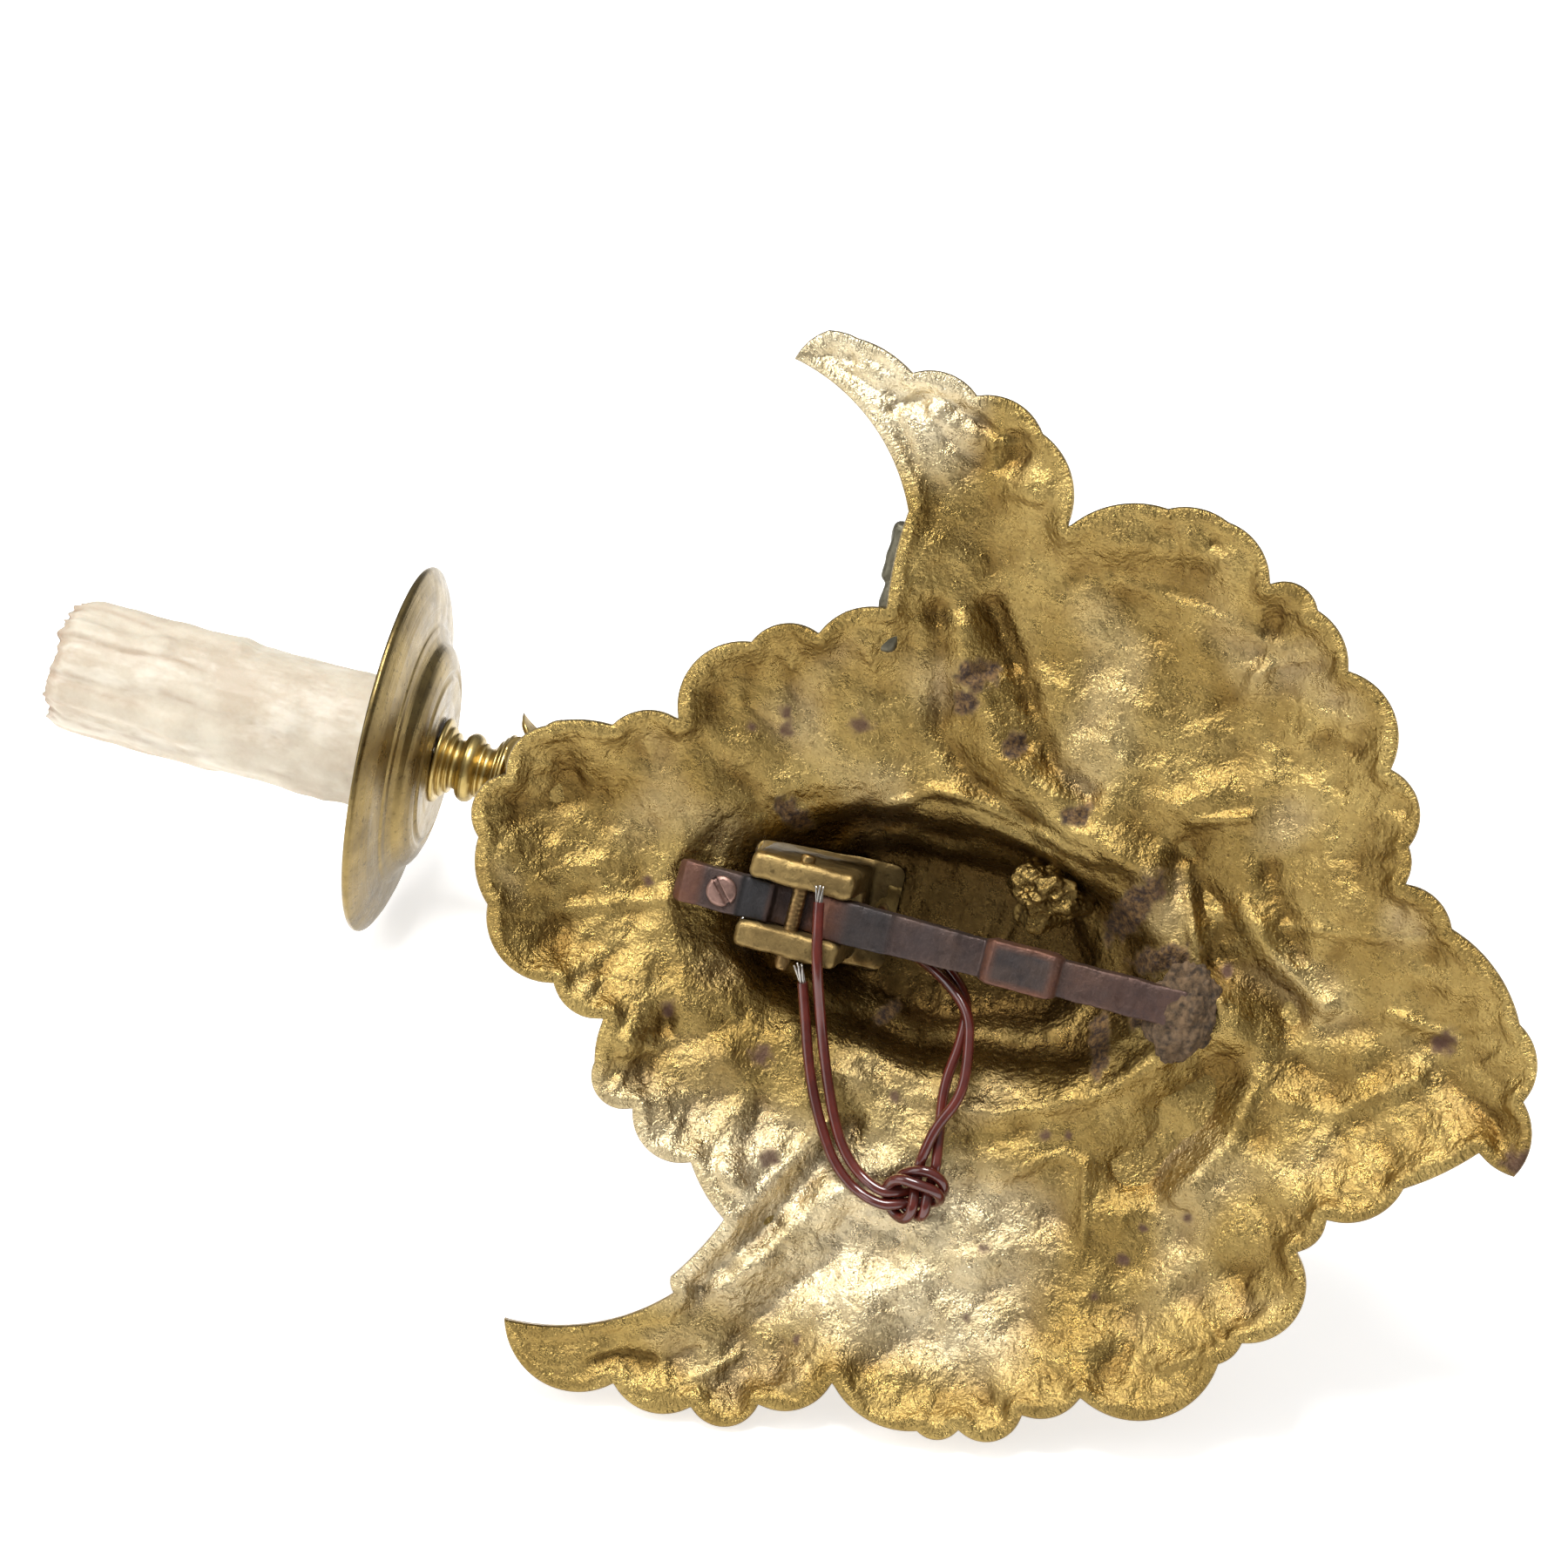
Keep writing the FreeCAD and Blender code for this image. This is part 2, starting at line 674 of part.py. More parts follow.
def lampholder_shell():
    return turned("lampholder_shell", [
        ("ShellInnerRadius", "ShellBottomZ"), ("ShellOuterRadius", "ShellBottomZ"),
        ("ShellOuterRadius", "ShellTopZ"), ("ShellInnerRadius", "ShellTopZ"),
    ])


def centre_contact():
    strip = block(
        "contact_strip",
        ("- ContactHalfWidth", "CandleY - ShellInnerRadius + ContactEndClear", "SocketFloorZ"),
        ("ContactHalfWidth", "CandleY + ShellInnerRadius - ContactEndClear",
         "SocketFloorZ + ContactThickness"),
    )
    button = rod(
        "contact_button", "ContactButtonRadius", "ContactTopZ - SocketFloorZ",
        ("0", "CandleY", "SocketFloorZ"),
    )
    return fused("centre_contact", strip, button)


def terminal_screws():
    shanks = terminal_rods("terminal_shank", "TerminalRadius", "TerminalHeadX - TerminalTipX", "TerminalTipX")
    heads = terminal_rods(
        "terminal_head", "TerminalHeadRadius", "TerminalEndX - TerminalHeadX", "TerminalHeadX"
    )
    right = fused("terminal_screw_right", shanks[0], heads[0])
    left = fused("terminal_screw_left", shanks[1], heads[1])
    return grouped("terminal_screws", right, left)


def candle_sleeve():
    return turned("candle_sleeve", [
        ("SleeveBoreRadius", "SleeveBottomZ"), ("SleeveFootRadius", "SleeveBottomZ"),
        ("SleeveTopRadius", "SleeveTopZ"), ("SleeveBoreRadius", "SleeveTopZ"),
    ])


# ---------------------------------------------------------------- supply wires
# Each wire leaves the slot below the tenon, passes in front of the bar, is tied with the
# other in a knot that lies on the plate, and comes back to a bare end at the fork.
WIRE_A_LEAD = [
    (1.2, -33.5, -12.0), (1.2, -27.5, -12.4), (1.8, -21.0, -14.8), (2.8, -15.2, -19.8),
    (5.2, -11.2, -26.6), (9.5, -8.6, -32.6), (16.0, -6.5, -34.4), (23.5, -5.2, -35.2),
    (29.5, -4.6, -32.2), (36.9, -5.4, -31.0),
]
WIRE_B_LEAD = [
    (-1.2, -33.5, -12.0), (-1.2, -27.5, -12.4), (-0.4, -21.8, -15.4), (0.8, -16.4, -20.4),
    (3.6, -13.2, -27.2), (8.2, -10.8, -32.0), (15.0, -8.4, -32.6), (22.0, -7.5, -31.6),
    (29.0, -7.5, -32.5), (36.2, -5.6, -33.8),
]
WIRE_A_TAIL = [
    (44.9, -6.2, -26.4), (43.8, -7.3, -21.2), (40.6, -7.5, -17.0), (36.2, -7.3, -13.9),
    (30.5, -6.9, -10.8), (24.0, -6.2, -8.2), (18.0, -5.2, -6.4), (11.5, -3.9, -4.4),
]
WIRE_B_TAIL = [
    (42.8, -6.0, -25.8), (40.9, -7.2, -21.1), (37.6, -7.4, -17.6), (32.8, -7.1, -14.8),
    (26.5, -6.4, -12.2), (20.0, -5.3, -9.8), (14.0, -3.7, -8.0), (8.4, -1.9, -6.4),
    (2.8, -1.6, -5.0), (-2.6, -1.7, -4.0),
]
WIRE_A_STRANDS_END = (8.9, -2.6, -3.1)
WIRE_B_STRANDS_END = (-5.2, -1.8, -3.5)


def inner_wire(name, side):
    """The part of a wire inside the arm and the stem, beside the middle line of the bore."""
    shift = side * size("WireSpread")
    route = [(shift, y, z) for _, y, z in ARM_ROUTE[:-1]]
    route[0] = (shift, size("WireExitY"), size("WireExitZ"))
    route.append((shift, size("CandleY"), size("WireTerminalZ")))
    return tube(name, route, size("WireRadius"))


def strands(name, start, end):
    """The bare, twisted copper at the end of a wire."""
    start = Vector(*start)
    along = Vector(*end) - start
    return plain(name, Part.makeCylinder(size("StrandRadius"), along.Length, start, along))


def wire_knot():
    knot = doc.addObject("Part::Ellipsoid", "wire_knot")
    bind(knot, Radius1="KnotHalfAcross", Radius2="KnotHalfAlong", Radius3="KnotHalfDepth")
    knot.Placement = FreeCAD.Placement(Vector(), FreeCAD.Rotation(Vector(0, 1, 0), size("KnotTurn")))
    place(knot, "KnotX", "KnotY", "KnotZ")
    return knot


# ---------------------------------------------------------------- the whole sconce
def build():
    plate = backplate()
    bar = iron_crossbar()
    wire = size("WireRadius")
    return [
        plate, bar, crossbar_screw(), lower_end_filler(bar, plate),
        arm(), arm_leaf_collar(), cotter_pin(), turned_stem(), drip_pan(),
        threaded_nipple(), lock_nut(), lampholder_cap(), lampholder_body(), lampholder_shell(),
        centre_contact(), terminal_screws(), candle_sleeve(),
        inner_wire("wire_a_inside", 1), inner_wire("wire_b_inside", -1),
        tube("wire_a_lead", WIRE_A_LEAD, wire), tube("wire_b_lead", WIRE_B_LEAD, wire),
        wire_knot(),
        tube("wire_a_tail", WIRE_A_TAIL, wire), tube("wire_b_tail", WIRE_B_TAIL, wire),
        strands("wire_a_strands", WIRE_A_TAIL[-1], WIRE_A_STRANDS_END),
        strands("wire_b_strands", WIRE_B_TAIL[-1], WIRE_B_STRANDS_END),
    ]


nodes = build()
doc.recompute()

for item in doc.Objects:
    if "Invalid" in item.State or "Error" in item.State:
        raise RuntimeError("%s failed: %s" % (item.Name, item.State))
for item in nodes:
    item.Label = item.Name
    if item.Shape.isNull() or not item.Shape.isValid():
        raise RuntimeError("%s has no valid shape" % item.Name)

os.makedirs("parts", exist_ok=True)
for item in nodes:
    item.Shape.exportStep("parts/%s.step" % item.Label)
    print("%-18s solids %d volume %9.1f mm3" % (item.Label, len(item.Shape.Solids), item.Shape.Volume))
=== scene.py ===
"""Looks for a gilt rococo wall sconce seen from behind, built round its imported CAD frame."""
import json
import math

import bmesh
import bpy
import numpy as np
from mathutils import Matrix, Vector, geometry, noise

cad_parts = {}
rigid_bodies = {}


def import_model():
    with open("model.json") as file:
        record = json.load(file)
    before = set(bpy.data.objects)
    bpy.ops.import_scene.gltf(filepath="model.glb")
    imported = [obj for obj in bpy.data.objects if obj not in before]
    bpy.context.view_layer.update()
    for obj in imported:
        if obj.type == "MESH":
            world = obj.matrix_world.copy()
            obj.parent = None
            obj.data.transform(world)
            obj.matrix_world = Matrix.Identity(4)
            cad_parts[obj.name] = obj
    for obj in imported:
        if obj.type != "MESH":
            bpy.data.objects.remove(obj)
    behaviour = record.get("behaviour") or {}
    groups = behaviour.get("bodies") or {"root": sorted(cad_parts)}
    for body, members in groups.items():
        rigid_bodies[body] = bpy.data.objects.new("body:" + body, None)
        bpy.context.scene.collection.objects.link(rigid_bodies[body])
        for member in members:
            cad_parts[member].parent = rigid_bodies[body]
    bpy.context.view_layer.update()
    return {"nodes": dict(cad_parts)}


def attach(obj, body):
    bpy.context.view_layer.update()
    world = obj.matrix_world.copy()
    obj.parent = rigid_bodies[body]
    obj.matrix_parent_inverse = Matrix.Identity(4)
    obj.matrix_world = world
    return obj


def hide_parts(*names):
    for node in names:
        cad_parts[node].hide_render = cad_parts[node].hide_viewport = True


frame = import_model()

# Lengths in this file are millimetres until a mesh or a curve is made.
MM = 0.001


# ---------------------------------------------------------------- small helpers
def new_piece(name, points, faces, smooth=True):
    """A mesh object from points in millimetres."""
    mesh = bpy.data.meshes.new(name)
    scaled = (np.asarray(points, float) * MM).tolist()
    mesh.from_pydata(scaled, [], faces)
    mesh.update()
    mesh.validate()
    if smooth:
        mesh.polygons.foreach_set("use_smooth", [True] * len(mesh.polygons))
    piece = bpy.data.objects.new(name, mesh)
    bpy.context.scene.collection.objects.link(piece)
    return piece


def outward(piece, weld=0.0):
    """Weld points closer than weld millimetres, and turn every face of a closed mesh outwards."""
    shape = bmesh.new()
    shape.from_mesh(piece.data)
    if weld:
        bmesh.ops.remove_doubles(shape, verts=shape.verts, dist=weld * MM)
    bmesh.ops.recalc_face_normals(shape, faces=shape.faces)
    shape.to_mesh(piece.data)
    shape.free()
    return piece


def tube_faces(rings, corners, base=0):
    """Faces round a tube whose rings of points follow one another, and a cap at each end."""
    faces = []
    for ring in range(rings - 1):
        for corner in range(corners):
            near = base + ring * corners + corner
            far = base + ring * corners + (corner + 1) % corners
            faces.append((near, far, far + corners, near + corners))
    last = base + (rings - 1) * corners
    faces.append(tuple(base + corner for corner in reversed(range(corners))))
    faces.append(tuple(last + corner for corner in range(corners)))
    return faces


def turned_faces(turns, count, closed=True):
    """Faces between copies of a profile of count points that are carried once round."""
    faces = []
    for number in range(turns):
        here = number * count
        there = (number + 1) % turns * count
        for step in range(count if closed else count - 1):
            beside = (step + 1) % count
            faces.append((here + step, here + beside, there + beside, there + step))
    return faces


def ball_shape(place_of):
    """Points and faces of a fine ball, with each point of the unit ball moved by place_of."""
    ball = bmesh.new()
    bmesh.ops.create_icosphere(ball, subdivisions=6, radius=1)
    ball.verts.index_update()
    points = [tuple(place_of(vertex.co.copy())) for vertex in ball.verts]
    faces = [[corner.index for corner in face.verts] for face in ball.faces]
    ball.free()
    return points, faces


def layered(spot, *layers):
    """Noise of several sizes added together: (how often it repeats, height) for each."""
    return sum(height * noise.noise(spot * often) for often, height in layers)


def give_values(piece, name, values):
    """Store one number per vertex, for the material to read."""
    layer = piece.data.attributes.new(name, "FLOAT", "POINT")
    layer.data.foreach_set("value", np.asarray(values, np.float32))


def fade(low, high, value):
    """0 below low, 1 above high, smooth between."""
    share = np.clip((value - low) / (high - low), 0.0, 1.0)
    return share * share * (3 - 2 * share)


SEEDED = np.random.default_rng(11)
SPIN = SEEDED.random((256, 256)) * 2 * math.pi


def grain(u, v, layer=0):
    """Smooth gradient noise from about -1 to 1 on plain coordinates."""
    u = np.asarray(u, float) + 31.7 * layer
    v = np.asarray(v, float) + 17.3 * layer
    cell_u = np.floor(u).astype(int)
    cell_v = np.floor(v).astype(int)
    part_u = u - cell_u
    part_v = v - cell_v

    def corner(step_u, step_v):
        turn = SPIN[(cell_u + step_u) % 256, (cell_v + step_v) % 256]
        return np.cos(turn) * (part_u - step_u) + np.sin(turn) * (part_v - step_v)

    blend_u = part_u ** 3 * (part_u * (part_u * 6 - 15) + 10)
    blend_v = part_v ** 3 * (part_v * (part_v * 6 - 15) + 10)
    low = corner(0, 0) * (1 - blend_u) + corner(1, 0) * blend_u
    high = corner(0, 1) * (1 - blend_u) + corner(1, 1) * blend_u
    return 1.5 * (low * (1 - blend_v) + high * blend_v)


def rough_grain(u, v, layer=0):
    """Three sizes of noise added together."""
    middle = 0.5 * grain(2.1 * u, 2.1 * v, layer + 1)
    fine = 0.25 * grain(4.3 * u, 4.3 * v, layer + 2)
    return grain(u, v, layer) + middle + fine


# ---------------------------------------------------------------- materials
def shader(name, colour, rough, metal=0.0):
    """A new material and its surface shader."""
    material = bpy.data.materials.new(name)
    material.use_nodes = True
    surface = material.node_tree.nodes["Principled BSDF"]
    surface.inputs["Base Color"].default_value = (*colour, 1)
    surface.inputs["Roughness"].default_value = rough
    surface.inputs["Metallic"].default_value = metal
    return material, surface


class Nodes:
    """Short ways to add the nodes that the materials share."""

    def __init__(self, material):
        self.tree = material.node_tree
        self.place = self.add("ShaderNodeTexCoord").outputs["Object"]

    def add(self, kind):
        return self.tree.nodes.new(kind)

    def link(self, start, end):
        self.tree.links.new(start, end)

    def fill(self, socket, value):
        if isinstance(value, bpy.types.NodeSocket):
            self.link(value, socket)
        else:
            socket.default_value = value

    def noise(self, scale, detail=3.0, rough=0.5, stretch=None, vector=None):
        texture = self.add("ShaderNodeTexNoise")
        texture.inputs["Scale"].default_value = scale
        texture.inputs["Detail"].default_value = detail
        texture.inputs["Roughness"].default_value = rough
        source = vector or self.place
        if stretch:
            mapping = self.add("ShaderNodeMapping")
            mapping.inputs["Scale"].default_value = stretch
            self.link(source, mapping.inputs["Vector"])
            source = mapping.outputs["Vector"]
        self.link(source, texture.inputs["Vector"])
        return texture.outputs["Fac"]

    def value(self, name):
        attribute = self.add("ShaderNodeAttribute")
        attribute.attribute_name = name
        return attribute.outputs["Fac"]

    def spread(self, source, low, high, start=0.0, end=1.0):
        """Map low..high of a value to start..end, and clamp it."""
        node = self.add("ShaderNodeMapRange")
        self.link(source, node.inputs["Value"])
        node.inputs["From Min"].default_value = low
        node.inputs["From Max"].default_value = high
        node.inputs["To Min"].default_value = start
        node.inputs["To Max"].default_value = end
        return node.outputs["Result"]

    def patches(self, scale, detail, rough, low, high, start=0.0, end=1.0):
        """Noise whose values from low to high become start to end."""
        return self.spread(self.noise(scale, detail, rough), low, high, start, end)

    def maths(self, operation, first, second):
        node = self.add("ShaderNodeMath")
        node.operation = operation
        self.fill(node.inputs[0], first)
        self.fill(node.inputs[1], second)
        return node.outputs["Value"]

    def mix(self, share, first, second):
        node = self.add("ShaderNodeMix")
        node.data_type = "RGBA"
        self.fill(node.inputs[0], share)
        for socket, colour in ((node.inputs[6], first), (node.inputs[7], second)):
            self.fill(socket, (*colour, 1) if isinstance(colour, tuple) else colour)
        return node.outputs[2]

    def bump(self, height, distance, strength=1.0, below=None):
        node = self.add("ShaderNodeBump")
        node.inputs["Distance"].default_value = distance
        node.inputs["Strength"].default_value = strength
        self.link(height, node.inputs["Height"])
        if below:
            self.link(below, node.inputs["Normal"])
        return node.outputs["Normal"]

    def coordinates(self, first, second):
        node = self.add("ShaderNodeCombineXYZ")
        self.link(first, node.inputs["X"])
        self.link(second, node.inputs["Y"])
        return node.outputs["Vector"]


def gilt_casting(name):
    """Gilded cast brass: bright on the humps, painted shade in the dips and the deep hollow, painted light
    on the -X horn and the +X low field, filed along the rim.
    """
    material, surface = shader(name, (0.6, 0.43, 0.15), 0.4, 1.0)
    nodes = Nodes(material)
    cloud = nodes.noise(55, 4, 0.6)
    patch = nodes.noise(240, 5, 0.65)
    speck = nodes.noise(1500, 2, 0.5)
    bright = nodes.mix(nodes.spread(cloud, 0.35, 0.65), (0.41, 0.292, 0.10), (0.27, 0.178, 0.052))
    # Painted shade: points that lie below their wider surroundings are darkened towards brown, as cavity
    # shading.
    dips = nodes.spread(nodes.value("dip"), 0.0, 1.0, 0.0, 0.85)
    dip_shaded = nodes.mix(dips, bright, (0.17, 0.10, 0.026))
    # Painted light: this lightens the -X horn and the +X low field where the lamps fall on them, and adds
    # random pale patches.
    pale_and_painted_light = nodes.maths("MULTIPLY", nodes.value("pale_and_painted_light"), nodes.patches(130, 4, 0.6, 0.3, 0.6, 0.55, 1.0))
    dip_shaded = nodes.mix(pale_and_painted_light, dip_shaded, (0.86, 0.74, 0.50))
    soiled = nodes.mix(nodes.spread(patch, 0.52, 0.74, 0.0, 0.45), dip_shaded, (0.20, 0.125, 0.042))
    # Painted shade: the deep hollow behind the arm is darkened towards dark brown.
    depth = nodes.spread(nodes.value("depth"), 0.0, 0.9, 0.0, 0.85)
    hollow = nodes.mix(depth, soiled, (0.10, 0.058, 0.017))
    dotted = nodes.mix(nodes.spread(speck, 0.30, 0.38, 0.55, 0.0), hollow, (0.16, 0.10, 0.04))
    crumbs = nodes.patches(900, 5, 0.75, 0.42, 0.62)
    crust = nodes.mix(crumbs, (0.040, 0.022, 0.014), (0.22, 0.125, 0.045))
    filler = nodes.mix(nodes.value("filler"), dotted, crust)
    stained = nodes.mix(nodes.value("stain"), filler, (0.075, 0.030, 0.022))
    nodes.link(stained, surface.inputs["Base Color"])
    dullness = nodes.maths("MAXIMUM", nodes.value("filler"), nodes.value("stain"))
    base_rough = nodes.patches(420, 3, 0.6, 0.3, 0.7, 0.20, 0.38)
    dull_rough = nodes.maths("MULTIPLY", dullness, 0.8)
    nodes.link(nodes.maths("MAXIMUM", base_rough, dull_rough), surface.inputs["Roughness"])
    nodes.link(nodes.spread(dullness, 0.0, 1.0, 1.0, 0.25), surface.inputs["Metallic"])
    lumps = nodes.bump(nodes.noise(560, 4, 0.62), 0.00060, 1.0)
    pitted = nodes.bump(nodes.noise(1350, 3, 0.65), 0.00020, 1.0, lumps)
    sand = nodes.bump(nodes.noise(3200, 2, 0.6), 0.00011, 1.0, pitted)
    rim = nodes.value("rim")
    edge_place = nodes.coordinates(nodes.value("along"), nodes.value("inside"))
    strokes = nodes.noise(1.0, 2, 0.5, (1.7, 0.12, 1), edge_place)
    cuts = nodes.maths("MULTIPLY", nodes.spread(strokes, 0.35, 0.65), rim)
    filed = nodes.bump(cuts, 0.00022, 1.0, sand)
    nodes.link(filed, surface.inputs["Normal"])
    return material


def aged_brass(name, light, dark, rough=(0.3, 0.5), lathe_marks=False, grit=0.5):
    """Brass with patina; turned and spun pieces also have fine rings."""
    material, surface = shader(name, light, 0.4, 1.0)
    nodes = Nodes(material)
    cloud = nodes.noise(90, 5, 0.65)
    fine = nodes.noise(900, 3, 0.6)
    colour = nodes.mix(nodes.spread(cloud, 0.32, 0.68), light, dark)
    colour = nodes.mix(nodes.spread(fine, 0.58, 0.70, 0.0, 0.6), colour, tuple(0.45 * part for part in dark))
    nodes.link(colour, surface.inputs["Base Color"])
    nodes.link(nodes.patches(300, 3, 0.6, 0.3, 0.7, *rough), surface.inputs["Roughness"])
    normal = nodes.bump(nodes.noise(1800, 3, 0.6), 0.00010, grit)
    if lathe_marks:
        ring_place = nodes.coordinates(nodes.value("ring"), nodes.value("flat"))
        rings = nodes.noise(1.0, 2, 0.5, (1, 1, 1), ring_place)
        normal = nodes.bump(rings, 0.00010, 0.7, normal)
    nodes.link(normal, surface.inputs["Normal"])
    return material


def forged_iron(name):
    """Dark forge scale with rust in places and bare metal where it was filed."""
    material, surface = shader(name, (0.05, 0.04, 0.04), 0.5, 0.75)
    nodes = Nodes(material)
    scale = nodes.mix(nodes.patches(160, 4, 0.6, 0.4, 0.65), (0.052, 0.043, 0.042), (0.085, 0.060, 0.050))
    rust = nodes.mix(nodes.patches(520, 5, 0.7, 0.35, 0.65), (0.20, 0.085, 0.048), (0.11, 0.055, 0.042))
    share = nodes.maths("MULTIPLY", nodes.value("rust"), nodes.patches(260, 4, 0.7, 0.25, 0.55, 0.35, 1.0))
    colour = nodes.mix(share, scale, rust)
    colour = nodes.mix(nodes.maths("MULTIPLY", nodes.value("filed"), 0.8), colour, (0.030, 0.032, 0.034))
    nodes.link(colour, surface.inputs["Base Color"])
    nodes.link(nodes.patches(500, 4, 0.6, 0.3, 0.7, 0.38, 0.66), surface.inputs["Roughness"])
    pits = nodes.bump(nodes.noise(900, 4, 0.65), 0.00028, 0.8)
    scratches = nodes.bump(nodes.noise(500, 2, 0.5, (0.15, 1, 6)), 0.00008, 0.5, pits)
    nodes.link(scratches, surface.inputs["Normal"])
    return material


def plain_material(name, colour, rough, metal=0.0, speck=(0.9, 1.1), size=600, relief=0.0001):
    """One colour that varies a little, with fine relief."""
    material, surface = shader(name, colour, rough, metal)
    nodes = Nodes(material)
    dark = tuple(speck[0] * part for part in colour)
    light = tuple(min(1.0, speck[1] * part) for part in colour)
    nodes.link(nodes.mix(nodes.patches(size, 4, 0.6, 0.35, 0.65), dark, light), surface.inputs["Base Color"])
    roughness = nodes.patches(size * 0.7, 3, 0.6, 0.3, 0.7, rough * 0.85, rough * 1.2)
    nodes.link(roughness, surface.inputs["Roughness"])
    nodes.link(nodes.bump(nodes.noise(size * 2, 3, 0.6), relief, 0.6), surface.inputs["Normal"])
    return material


def wax(name):
    """Cream resin that looks like wax, with paler streaks and painted shade in its creases."""
    material, surface = shader(name, (0.62, 0.50, 0.40), 0.55)
    nodes = Nodes(material)
    cloud = nodes.noise(70, 5, 0.7)
    colour = nodes.mix(nodes.spread(cloud, 0.35, 0.62), (0.60, 0.54, 0.43), (0.48, 0.40, 0.30))
    streak = nodes.noise(130, 4, 0.65, (1, 1, 0.4))
    colour = nodes.mix(nodes.spread(streak, 0.53, 0.66, 0.0, 0.6), colour, (0.70, 0.65, 0.55))
    # Painted shade: the crease value darkens the drip edges, the top rim and the bore.
    crease_shade = nodes.maths("MULTIPLY", nodes.value("crease"), nodes.patches(500, 4, 0.6, 0.3, 0.6, 0.5, 1.0))
    colour = nodes.mix(crease_shade, colour, (0.36, 0.26, 0.18))
    nodes.link(colour, surface.inputs["Base Color"])
    nodes.link(nodes.patches(260, 3, 0.6, 0.3, 0.7, 0.42, 0.68), surface.inputs["Roughness"])
    surface.inputs["Subsurface Weight"].default_value = 0.15
    surface.inputs["Subsurface Radius"].default_value = (0.004, 0.002, 0.0012)
    nodes.link(nodes.bump(nodes.noise(900, 4, 0.6), 0.00016, 0.7), surface.inputs["Normal"])
    return material


def wire_gloss(name):
    """Glossy red-brown insulation."""
    material, surface = shader(name, (0.15, 0.020, 0.011), 0.22)
    nodes = Nodes(material)
    colour = nodes.mix(nodes.patches(220, 3, 0.6, 0.35, 0.65), (0.105, 0.015, 0.009), (0.060, 0.009, 0.006))
    nodes.link(colour, surface.inputs["Base Color"])
    nodes.link(nodes.patches(400, 3, 0.6, 0.3, 0.7, 0.12, 0.26), surface.inputs["Roughness"])
    surface.inputs["Coat Weight"].default_value = 0.4
    surface.inputs["Coat Roughness"].default_value = 0.12
    nodes.link(nodes.bump(nodes.noise(700, 2, 0.5), 0.00004, 0.5), surface.inputs["Normal"])
    return material


GILT = gilt_casting("gilt_casting")
FORK_BRASS = aged_brass("fork_brass", (0.34, 0.24, 0.095), (0.18, 0.12, 0.048), (0.42, 0.62), grit=1.0)
# Grey-green patina for the show-side scrolls, made darker as painted shade for the side that faces away from
# the light.
SHOW_SIDE = aged_brass("show_side", (0.17, 0.155, 0.11), (0.10, 0.092, 0.065), (0.4, 0.6), grit=0.8)
ARM_GILT = aged_brass("arm_gilt", (0.62, 0.45, 0.17), (0.40, 0.27, 0.09), (0.26, 0.44))
TURNED = aged_brass(
    "turned_brass", (0.55, 0.41, 0.16), (0.33, 0.24, 0.08), (0.25, 0.40), lathe_marks=True, grit=0.3,
)
SPUN = aged_brass(
    "spun_brass", (0.29, 0.21, 0.08), (0.14, 0.10, 0.042), (0.24, 0.36), lathe_marks=True, grit=0.25,
)
PIN_BRASS = aged_brass("pin_brass", (0.34, 0.23, 0.09), (0.20, 0.12, 0.05), (0.34, 0.5))
IRON = forged_iron("forged_iron")
SCREW_STEEL = plain_material("rusty_screw", (0.26, 0.155, 0.125), 0.42, 0.8, (0.65, 1.25), 500)
FILLER = plain_material("brown_filler", (0.085, 0.052, 0.026), 0.9, 0.0, (0.35, 1.9), 700, 0.0004)
STEEL = plain_material("plated_steel", (0.60, 0.59, 0.56), 0.3, 1.0, (0.85, 1.1))
IVORY = plain_material("holder_plastic", (0.58, 0.54, 0.44), 0.45, 0.0, (0.93, 1.05), 300, 0.00004)
CONTACT = plain_material("contact_brass", (0.70, 0.52, 0.24), 0.25, 1.0, (0.85, 1.1))
RESIN = wax("candle_resin")
INSULATION = wire_gloss("wire_insulation")
TINNED = plain_material("tinned_copper", (0.50, 0.47, 0.43), 0.3, 1.0, (0.7, 1.15), 900)


def dress(piece, material, body="sconce", stands_for=()):
    """Give a piece its material, its body and the CAD nodes it stands for."""
    piece.data.materials.clear()
    piece.data.materials.append(material)
    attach(piece, body)
    if stands_for:
        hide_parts(*stands_for)
    return piece


# ---------------------------------------------------------------- camera, floor and light
def aim(thing, place, target, turn=0.0):
    """Point a camera or lamp at a target, and turn it about its own line of sight."""
    place = Vector(place) * MM
    sight = Vector(target) * MM - place
    turned = sight.to_track_quat("-Z", "Y").to_matrix() @ Matrix.Rotation(math.radians(turn), 3, "Z")
    thing.matrix_world = Matrix.Translation(place) @ turned.to_4x4()


camera = bpy.data.objects.new("camera", bpy.data.cameras.new("camera"))
camera.data.lens = 125.48
camera.data.sensor_width = 36
bpy.context.scene.collection.objects.link(camera)
aim(camera, (-91.9, 909.98, -93.87), (-20.58, 0, 6.43), -75.456)
bpy.context.scene.camera = camera
bpy.context.scene.view_settings.view_transform = "Standard"

# The sconce lies on its pan's rim and its +X side, so the table leans in the sconce's own frame.
TABLE_UP = Vector((-0.8699, 0.4787, 0.1191)).normalized()


